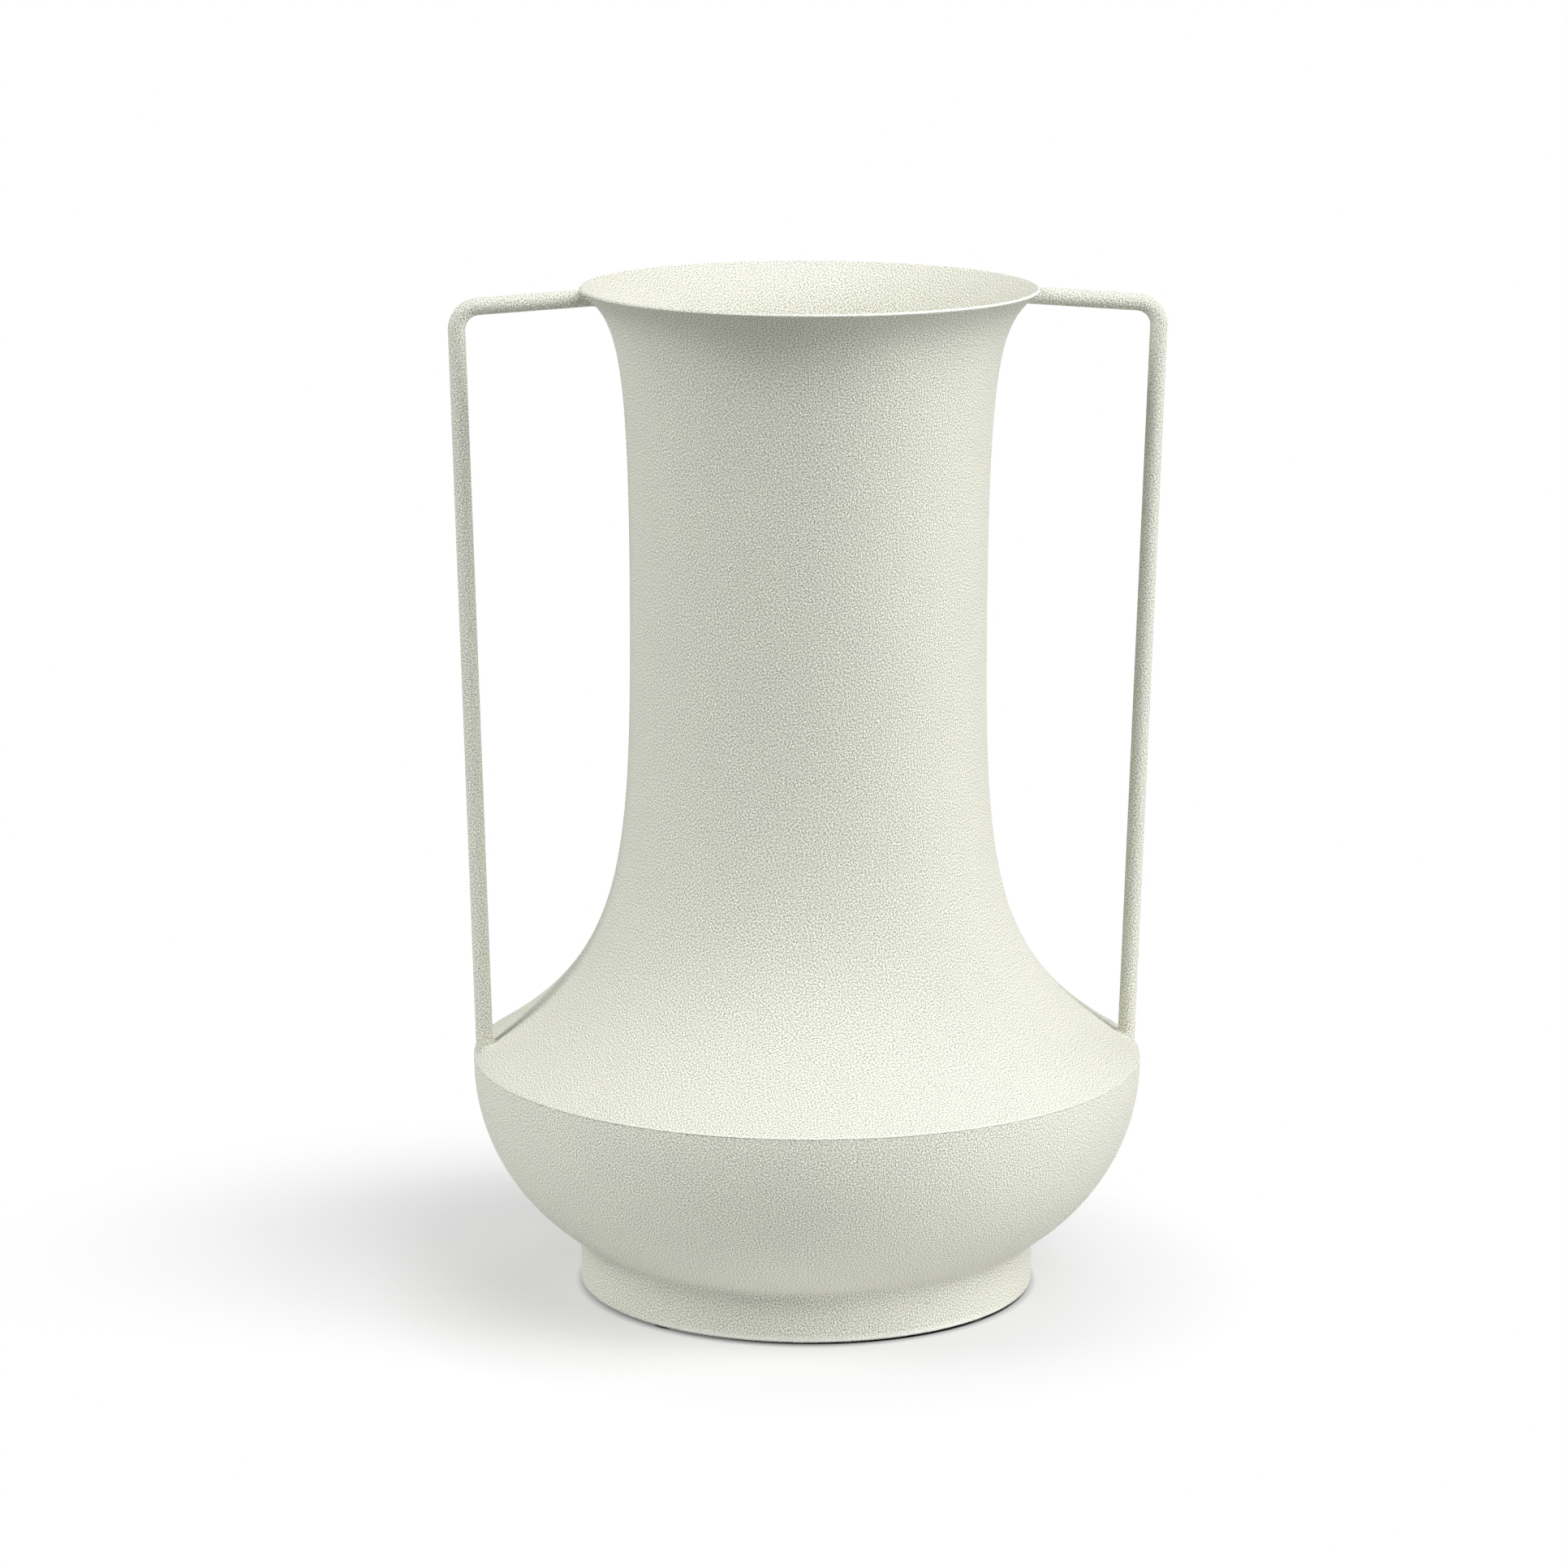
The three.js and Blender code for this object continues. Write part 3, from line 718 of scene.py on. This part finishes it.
# %% [markdown]
# ## The handles
#
# Each handle is one length of 6 mm round bar, bent once. Its middle line is two straights and an arc,
# and a circle swept along it is the bar. The ends are coped: each line along the bar's skin is cut off
# where it meets the neck, so that the bar sits on the curved sheet and doesn't show inside the mouth.

# %% A tree that sweeps round bar along a line
bar_tree, bar_keys = start_tree(
    "sweep_round_bar", [("Bar radius", "Float"), ("Sides", "Int"), ("Finish", "Material")]
)
inputs = add_node(bar_tree, "NodeGroupInput")
bar_line = add_node(bar_tree, "GeometryNodeMeshToCurve")
section = add_node(bar_tree, "GeometryNodeCurvePrimitiveCircle", mode="RADIUS")
sweep = fill(add_node(bar_tree, "GeometryNodeCurveToMesh"), Fill_Caps=True)
bar_tree.links.new(inputs.outputs["Guide"], bar_line.inputs["Mesh"])
bar_tree.links.new(inputs.outputs["Sides"], section.inputs["Resolution"])
bar_tree.links.new(inputs.outputs["Bar radius"], section.inputs["Radius"])
bar_tree.links.new(bar_line.outputs["Curve"], sweep.inputs["Curve"])
bar_tree.links.new(section.outputs["Curve"], sweep.inputs["Profile Curve"])
finish_tree(bar_tree, sweep.outputs["Mesh"], inputs)
print("bar nodes:", len(bar_tree.nodes))

# %% The line of a handle
BAR_RADIUS = 3.0
HANDLE_REACH = 121.798
ARM_FALL = math.radians(4)
BAR_BEND = 8.0
EDGE_MARGIN = 0.8
BEND_STEPS = 18
STRAIGHT_STEP = 4.0

lip_end = Vector((LIP_RADIUS, 0.0, lip.y - BAR_RADIUS))
corner = Vector((HANDLE_REACH, 0.0, lip_end.z - (HANDLE_REACH - LIP_RADIUS) * math.tan(ARM_FALL)))
leg_inset = EDGE_MARGIN + BAR_RADIUS
foot_end = Vector((
    SHOULDER_RADIUS - leg_inset,
    0.0,
    SHOULDER_HEIGHT + leg_inset * math.tan(SHOULDER_FALL),
))
to_lip = (lip_end - corner).normalized()
to_foot = (foot_end - corner).normalized()


def straight(start, stop):
    """Points from start up to stop, about evenly spaced, without the last."""
    steps = max(1, round((stop - start).length / STRAIGHT_STEP))
    return [start.lerp(stop, i / steps) for i in range(steps)]


half_bend = to_lip.angle(to_foot) / 2
setback = BAR_BEND / math.tan(half_bend)
bend_centre = corner + (to_lip + to_foot).normalized() * (BAR_BEND / math.sin(half_bend))
bend_start = corner + to_lip * setback
bend_stop = corner + to_foot * setback
bend_axis = (bend_start - bend_centre).cross(bend_stop - bend_centre)
bend_turn = math.pi - 2 * half_bend
bend = [
    Matrix.Rotation(bend_turn * i / BEND_STEPS, 3, bend_axis) @ (bend_start - bend_centre) + bend_centre
    for i in range(BEND_STEPS)
]
handle_line = straight(lip_end, bend_start) + bend + straight(bend_stop, foot_end) + [foot_end]
print("handle line of", len(handle_line), "points")

# %% Bend, cope and place both bars
BAR_SIDES = 40
SEARCH_REACH = 30.0

neck_line = neck_face(0.0)


def face_radius(height):
    """Radius of the neck's outer face at a height. Past its ends the face runs on straight."""
    above = next((i for i, point in enumerate(neck_line) if point.y > height), len(neck_line) - 1)
    above = max(above, 1)
    low_point = neck_line[above - 1]
    high_point = neck_line[above]
    share = (height - low_point.y) / (high_point.y - low_point.y)
    return low_point.x + (high_point.x - low_point.x) * share


def meets_neck(point, direction):
    """Where a line from a point in the body, going out along a direction, leaves the neck's face."""
    low_run = -SEARCH_REACH
    high_run = SEARCH_REACH
    for _ in range(HALVINGS):
        run = (low_run + high_run) / 2
        spot = point + direction * run
        if math.hypot(spot.x, spot.y) > min(face_radius(spot.z), SHOULDER_RADIUS):
            high_run = run
        else:
            low_run = run
    return point + direction * high_run


def cope(piece, end, away):
    """Moves the skin of a bar's end along the bar until it meets the neck, and closes it with a fan."""
    mesh = bmesh.new()
    mesh.from_mesh(piece.data)
    mesh.faces.ensure_lookup_table()
    cap = min(mesh.faces, key=lambda face: (face.calc_center_median() / MM - end).length)
    ring = list(cap.verts)
    for vert in ring:
        vert.co = meets_neck(vert.co / MM, away) * MM
    hub_spot = meets_neck(end.copy(), away) * MM
    fan = bmesh.ops.poke(mesh, faces=[cap])
    fan["verts"][0].co = hub_spot
    for face in fan["faces"]:
        face.smooth = False
    mesh.to_mesh(piece.data)
    mesh.free()


def half_turn(piece):
    """Turns a finished mesh half way round the vase's axis."""
    piece.data.transform(Matrix.Rotation(math.pi, 4, "Z"))


for side in ("right", "left"):
    guide = line_mesh("handle.line", [point * MM for point in handle_line], closed=False)
    bar = grow(
        side + "_handle_bar", guide, bar_tree, bar_keys,
        Bar_radius=BAR_RADIUS * MM, Sides=BAR_SIDES, Finish=powder_coat,
    )
    cope(bar, lip_end, -to_lip)
    cope(bar, foot_end, -to_foot)
    print(bar.name, "volume %.2f cm3" % outward(bar))
    if side == "left":
        half_turn(bar)
    settle(bar, "powder_coat", "handle_" + side)

# %% [markdown]
# ## The weld beads of the handles
#
# A bar is held by a fillet bead at each end. The bead is laid round the bar where it meets the sheet,
# so its section is found line by line: a point up the bar, a point out on the sheet, and a hollow
# between them. Ripples across the bead, where the welder paused, are drawn into the section's size.

# %% Lay the beads
LIP_BEAD_LEG = 0.7
SHOULDER_BEAD_LEG = 1.3
BEAD_HOLLOW = 0.3
BEAD_SINK = 0.4
BEAD_DIVE = 0.05
BEAD_FEATHER = 0.6
BEAD_STEPS = 64
BEAD_ACROSS = 8
BEAD_LEAST = 0.1
BEAD_FADE = 8
LIP_BEAD_SPREAD = math.radians(200)
SHOULDER_BEAD_SPREAD = math.radians(240)
RIPPLE_PITCH = 1.1
RIPPLE_DEPTH = 0.07


def bead(name, end, away, inside, spread, size):
    """A rippled fillet bead round a bar's end. It fades out at both ends of its spread."""
    side_way = away.cross(inside)

    def above(out, radius, height):
        """A point at a radius from the bar's middle, this far along the bar from the neck's face."""
        return meets_neck(end + out * radius, away) + away * height

    rows = []
    for i in range(BEAD_STEPS + 1):
        share = i / BEAD_STEPS
        angle = spread * (share - 0.5)
        out = inside * math.cos(angle) + side_way * math.sin(angle)
        fade = math.sqrt(max(0.0, 1 - (2 * share - 1) ** BEAD_FADE))
        ripple = 1 + RIPPLE_DEPTH * math.cos(2 * math.pi * angle * BAR_RADIUS / RIPPLE_PITCH)
        leg = BEAD_LEAST + size * fade * ripple
        row = [above(out, BAR_RADIUS - BEAD_SINK, -BEAD_SINK)]
        row.append(above(out, BAR_RADIUS - BEAD_DIVE, leg + BEAD_FEATHER))
        for k in range(BEAD_ACROSS + 1):
            along = k / BEAD_ACROSS
            up = leg * ((1 - along) ** 2 + 2 * along * (1 - along) * BEAD_HOLLOW)
            wide = leg * (along**2 + 2 * along * (1 - along) * BEAD_HOLLOW)
            row.append(above(out, BAR_RADIUS + wide, up))
        row.append(above(out, BAR_RADIUS + leg + BEAD_FEATHER, -BEAD_DIVE))
        rows.append(row)
    count = len(rows[0])
    points = [point * MM for row in rows for point in row]
    faces = []
    for r in range(BEAD_STEPS):
        for k in range(count):
            ahead = (k + 1) % count
            faces.append((r * count + k, r * count + ahead, (r + 1) * count + ahead, (r + 1) * count + k))
    faces.append(tuple(reversed(range(count))))
    faces.append(tuple(range(BEAD_STEPS * count, (BEAD_STEPS + 1) * count)))
    mesh = bpy.data.meshes.new(name)
    mesh.from_pydata(points, [], faces)
    mesh.materials.append(powder_coat)
    mesh.polygons.foreach_set("use_smooth", [True] * len(mesh.polygons))
    piece = bpy.data.objects.new(name, mesh)
    bpy.context.scene.collection.objects.link(piece)
    print(name, "volume %.3f cm3" % outward(piece))
    return piece


down = Vector((0.0, 0.0, -1.0))
inward = Vector((-1.0, 0.0, 0.0))
for side in ("right", "left"):
    under_arm = (down - to_lip * down.dot(to_lip)).normalized()
    behind_leg = (inward - to_foot * inward.dot(to_foot)).normalized()
    lip_bead = bead(side + "_lip_bead", lip_end, -to_lip, under_arm, LIP_BEAD_SPREAD, LIP_BEAD_LEG)
    shoulder_bead = bead(
        side + "_shoulder_bead", foot_end, -to_foot, behind_leg, SHOULDER_BEAD_SPREAD, SHOULDER_BEAD_LEG
    )
    if side == "left":
        half_turn(lip_bead)
        half_turn(shoulder_bead)
    settle(lip_bead, "powder_coat", "lip_weld_" + side)
    settle(shoulder_bead, "powder_coat", "shoulder_weld_" + side)

# %% [markdown]
# ## The felt dots
#
# A thin dark line under the foot says that the vase stands on something thin: four felt dots. They are
# discs punched from felt sheet, so their rims are soft. Loose fibres could be scattered over them, but
# under the foot only a sliver of each is ever seen. So the same lathe turns a disc with a rounded rim,
# and a twisted noise gives it the tone and the nap of matted wool.

# %% The felt
FELT_COLOUR = (0.09, 0.085, 0.08)
FELT_DARK = 0.6
FELT_PALE = 1.6
FIBRES_PER_METRE = 2600.0
FIBRE_LOW = 0.3
FIBRE_HIGH = 0.75
NAP_LEAST = 0.85
FUZZ_SHARE = 0.8
FUZZ_MM = 0.2

felt, tree, felt_shader = shade("grey_felt")
place = add_node(tree, "ShaderNodeTexCoord")
fibres = fill(add_node(tree, "ShaderNodeTexNoise"), Scale=FIBRES_PER_METRE, Detail=3.0, Distortion=1.5)
tree.links.new(place.outputs["Object"], fibres.inputs["Vector"])
felt_tone = add_node(tree, "ShaderNodeValToRGB")
felt_tone.color_ramp.elements[0].position = FIBRE_LOW
felt_tone.color_ramp.elements[0].color = [value * FELT_DARK for value in FELT_COLOUR] + [1.0]
felt_tone.color_ramp.elements[1].position = FIBRE_HIGH
felt_tone.color_ramp.elements[1].color = [value * FELT_PALE for value in FELT_COLOUR] + [1.0]
tree.links.new(fibres.outputs["Fac"], felt_tone.inputs["Fac"])
tree.links.new(felt_tone.outputs["Color"], felt_shader.inputs["Base Color"])
nap = fill(add_node(tree, "ShaderNodeMapRange"), To_Min=NAP_LEAST)
tree.links.new(fibres.outputs["Fac"], nap.inputs["Value"])
tree.links.new(nap.outputs["Result"], felt_shader.inputs["Roughness"])
fuzz = fill(add_node(tree, "ShaderNodeBump"), Strength=FUZZ_SHARE, Distance=FUZZ_MM * MM)
tree.links.new(fibres.outputs["Fac"], fuzz.inputs["Height"])
tree.links.new(fuzz.outputs["Normal"], felt_shader.inputs["Normal"])
print("felt nodes:", len(tree.nodes))

# %% Punch the dots
DOT_RADIUS = 5.5
DOT_RIM = 0.25
DOT_COUNT = 4
DOT_RINGS = [0.0, 2.5, 4.5]
DOT_STEPS = 48
FIRST_DOT = 45

dot_ring = FOOT_RADIUS - FOOT_FLANGE / 2
low_face = [Vector((radius, 0.0)) for radius in DOT_RINGS]
high_face = [Vector((radius, PAD_THICKNESS)) for radius in DOT_RINGS]
low_rim = Vector((DOT_RADIUS, 0.0))
high_rim = Vector((DOT_RADIUS, PAD_THICKNESS))
dot_outline = low_face + rounded(low_face[0], low_rim, high_rim, DOT_RIM)
dot_outline += rounded(low_rim, high_rim, high_face[0], DOT_RIM) + high_face[::-1]
for i in range(DOT_COUNT):
    dot = turn("felt_dot_%d" % (i + 1), dot_outline, closed=False, steps=DOT_STEPS, finish=felt)
    angle = math.radians(FIRST_DOT + 360 * i / DOT_COUNT)
    spot = Vector((dot_ring * math.cos(angle), dot_ring * math.sin(angle), 0.0)) * MM
    dot.data.transform(Matrix.Translation(spot))
    settle(dot, "felt", "foot_pad_%d" % (i + 1))

# %% [markdown]
# ## Floor, light and background
#
# The photograph's light was worked out from the vase itself: it was rendered under many soft lamps, one
# at a time, and the few that add up to the photographed tones were kept. Two wide lamps stand to the
# right, the front one high enough to throw the lip's shadow on the neck. One to the left fills, and a
# weak one lights the far side. The floor sends light back up under the bowl, so it is pale near the
# vase. Farther out it sends back little, or the underside of the lip would lose its shade.

# %% The lamps
VASE_MIDDLE = Vector((0.0, 0.0, 0.17))
LAMP_DISTANCE = 2.2
# Bearing to the right of the camera and climb above the floor in degrees, width in metres, watts
LAMPS = {
    "right_front": (36, 44, 1.5, 26.4),
    "right_side": (74, 30, 1.5, 34.0),
    "left_side": (-74, 36, 1.2, 36.0),
    "far_side": (170, 50, 1.2, 7.2),
}
for name, (bearing, climb, width, watts) in LAMPS.items():
    lamp = bpy.data.lights.new(name, "AREA")
    lamp.shape = "DISK"
    lamp.size = width
    lamp.energy = watts
    swing = math.radians(bearing - 90) - HANDLES_TURN
    rise = math.radians(climb)
    level = Vector((math.cos(swing), math.sin(swing), 0.0)) * math.cos(rise)
    way = level + Vector((0.0, 0.0, math.sin(rise)))
    stand = bpy.data.objects.new(name, lamp)
    stand.location = VASE_MIDDLE + way * LAMP_DISTANCE
    stand.rotation_euler = way.to_track_quat("Z", "Y").to_euler()
    bpy.context.scene.collection.objects.link(stand)
print("lamps:", ", ".join(LAMPS))

# %% The floor
FLOOR_HALF = 8.0

floor_mesh = bpy.data.meshes.new("studio_floor")
corners = [(x * FLOOR_HALF, y * FLOOR_HALF, 0.0) for x, y in ((-1, -1), (1, -1), (1, 1), (-1, 1))]
floor_mesh.from_pydata(corners, [], [(0, 1, 2, 3)])
floor = bpy.data.objects.new("studio_floor", floor_mesh)
bpy.context.scene.collection.objects.link(floor)
print("floor of %.0f m on a side" % (2 * FLOOR_HALF))

# %% How the floor lights the vase
FLOOR_PALE = 0.77
FLOOR_DARK = 0.04
PALE_TO = 0.28
DARK_FROM = 0.75

floor_paint, tree, bounce = shade("pale_floor")
bounce.inputs["Roughness"].default_value = 1.0
bounce.inputs["Specular IOR Level"].default_value = 0.0
place = add_node(tree, "ShaderNodeTexCoord")
away = add_node(tree, "ShaderNodeVectorMath", operation="LENGTH")
pale = fill(add_node(tree, "ShaderNodeMapRange"), From_Min=PALE_TO, From_Max=DARK_FROM)
fill(pale, To_Min=FLOOR_PALE, To_Max=FLOOR_DARK)
tree.links.new(place.outputs["Object"], away.inputs[0])
tree.links.new(away.outputs["Value"], pale.inputs["Value"])
tree.links.new(pale.outputs["Result"], bounce.inputs["Base Color"])
print("floor sends back %.2f near the vase and %.2f far off" % (FLOOR_PALE, FLOOR_DARK))

# %% [markdown]
# ## The floor in the picture
#
# In the picture the floor is white, with one soft shadow to the left. A floor painted white would come
# out grey under these lamps, and a brighter one would light the vase too much. So the camera sees a floor
# of its own: the lit one with its shadow near the vase, lifted a little, and pure white farther off,
# with an oval between them where one fades into the other.

# %% How the camera sees the floor
FLOOR_SEEN = 0.55
FLOOR_LIFT = 0.36
SHADOW_MIDDLE = (-0.075, 0.015, 0.0)
SHADOW_HALF = (0.24, 0.215, 1.0)
SHADOW_KEEP = 0.35


def seen_directly(tree):
    """One where a ray comes from the camera, a gloss or a glass, and zero where it only carries light."""
    ray = add_node(tree, "ShaderNodeLightPath")
    either = add_node(tree, "ShaderNodeMath", operation="MAXIMUM")
    any_sight = add_node(tree, "ShaderNodeMath", operation="MAXIMUM")
    tree.links.new(ray.outputs["Is Camera Ray"], either.inputs[0])
    tree.links.new(ray.outputs["Is Glossy Ray"], either.inputs[1])
    tree.links.new(either.outputs["Value"], any_sight.inputs[0])
    tree.links.new(ray.outputs["Is Transmission Ray"], any_sight.inputs[1])
    return any_sight.outputs["Value"]


shaded = fill(add_node(tree, "ShaderNodeBsdfDiffuse"), Color=(FLOOR_SEEN, FLOOR_SEEN, FLOOR_SEEN, 1.0))
lift = fill(add_node(tree, "ShaderNodeEmission"), Strength=FLOOR_LIFT)
near = add_node(tree, "ShaderNodeAddShader")
oval = fill(add_node(tree, "ShaderNodeMapping", vector_type="TEXTURE"), Location=SHADOW_MIDDLE)
fill(oval, Rotation=(0.0, 0.0, -HANDLES_TURN), Scale=SHADOW_HALF)
from_middle = add_node(tree, "ShaderNodeVectorMath", operation="LENGTH")
fade = fill(add_node(tree, "ShaderNodeMapRange", interpolation_type="SMOOTHSTEP"), From_Min=SHADOW_KEEP)
white = fill(add_node(tree, "ShaderNodeEmission"), Strength=1.0)
open_floor = add_node(tree, "ShaderNodeMixShader")
tree.links.new(shaded.outputs["BSDF"], near.inputs[0])
tree.links.new(lift.outputs["Emission"], near.inputs[1])
tree.links.new(place.outputs["Object"], oval.inputs["Vector"])
tree.links.new(oval.outputs["Vector"], from_middle.inputs[0])
tree.links.new(from_middle.outputs["Value"], fade.inputs["Value"])
tree.links.new(fade.outputs["Result"], open_floor.inputs["Fac"])
tree.links.new(near.outputs["Shader"], open_floor.inputs[1])
tree.links.new(white.outputs["Emission"], open_floor.inputs[2])
print("the shade fades to white within", SHADOW_HALF[:2], "m")

# %% [markdown]
# ## Painted shade at the foot
#
# Close to the foot the floor sees little of the lamps, and under it, between the felt dots, it sees none.
# The lift that whitens the floor would wash that out, so shade is painted back in: the floor that the
# camera sees is mixed toward a near-black one in a wide faint ring, a narrow grey one along the edge,
# and a dark disc under the foot, a little off to the front right, where the photograph shows the gap as
# a black line.

# %% Painted shade round and under the foot
HALO_NEAR = 0.08
HALO_FAR = 0.16
HALO_SHARE = 0.86
RING_NEAR = 0.0785
RING_FAR = 0.0825
RING_SHARE = 0.5
GAP_MIDDLE = (0.0019, -0.001, 0.0)
GAP_DARK = 0.0765
GAP_END = 0.0777
GAP_SHADOW_COLOUR = (0.01, 0.01, 0.01, 1.0)

halo = fill(add_node(tree, "ShaderNodeMapRange"), From_Min=HALO_NEAR, From_Max=HALO_FAR, To_Min=HALO_SHARE)
under_foot = fill(add_node(tree, "ShaderNodeMapping", vector_type="TEXTURE"), Location=GAP_MIDDLE)
from_axis = add_node(tree, "ShaderNodeVectorMath", operation="LENGTH")
past_gap = fill(add_node(tree, "ShaderNodeMapRange"), From_Min=GAP_DARK, From_Max=GAP_END)
ring = fill(add_node(tree, "ShaderNodeMapRange"), From_Min=RING_NEAR, From_Max=RING_FAR, To_Min=RING_SHARE)
both_rings = add_node(tree, "ShaderNodeMath", operation="MULTIPLY")
pale_share = add_node(tree, "ShaderNodeMath", operation="MULTIPLY")
# A near-black floor, mixed in as painted shadow near the foot, along its edge and under it.
painted_shadow = fill(add_node(tree, "ShaderNodeBsdfDiffuse"), Color=GAP_SHADOW_COLOUR)
seen = add_node(tree, "ShaderNodeMixShader")
choice = add_node(tree, "ShaderNodeMixShader")
tree.links.new(away.outputs["Value"], halo.inputs["Value"])
tree.links.new(place.outputs["Object"], under_foot.inputs["Vector"])
tree.links.new(under_foot.outputs["Vector"], from_axis.inputs[0])
tree.links.new(from_axis.outputs["Value"], past_gap.inputs["Value"])
tree.links.new(away.outputs["Value"], ring.inputs["Value"])
tree.links.new(halo.outputs["Result"], both_rings.inputs[0])
tree.links.new(ring.outputs["Result"], both_rings.inputs[1])
tree.links.new(both_rings.outputs["Value"], pale_share.inputs[0])
tree.links.new(past_gap.outputs["Result"], pale_share.inputs[1])
tree.links.new(pale_share.outputs["Value"], seen.inputs["Fac"])
tree.links.new(painted_shadow.outputs["BSDF"], seen.inputs[1])
tree.links.new(open_floor.outputs["Shader"], seen.inputs[2])
tree.links.new(seen_directly(tree), choice.inputs["Fac"])
tree.links.new(bounce.outputs["BSDF"], choice.inputs[1])
tree.links.new(seen.outputs["Shader"], choice.inputs[2])
tree.links.new(choice.outputs["Shader"], tree.nodes["Material Output"].inputs["Surface"])
floor_mesh.materials.append(floor_paint)
print("floor nodes:", len(tree.nodes))

# %% [markdown]
# ## The background
#
# Behind the vase there is only white. A white world would be the simple way, but it would also light the
# vase from every side and flatten it. So the world is white where it is seen, and as a light it is off.

# %% The white background
WHITE = (1.0, 1.0, 1.0, 1.0)
AMBIENT = 0.0

world = bpy.data.worlds.new("white_studio")
bpy.context.scene.world = world
world.use_nodes = True
tree = world.node_tree
dim = fill(tree.nodes["Background"], Color=WHITE, Strength=AMBIENT)
bright = fill(add_node(tree, "ShaderNodeBackground"), Color=WHITE, Strength=1.0)
choice = add_node(tree, "ShaderNodeMixShader")
tree.links.new(seen_directly(tree), choice.inputs["Fac"])
tree.links.new(dim.outputs["Background"], choice.inputs[1])
tree.links.new(bright.outputs["Background"], choice.inputs[2])
tree.links.new(choice.outputs["Shader"], tree.nodes["World Output"].inputs["Surface"])
bpy.context.scene.view_settings.view_transform = "Standard"
print("view transform:", bpy.context.scene.view_settings.view_transform)
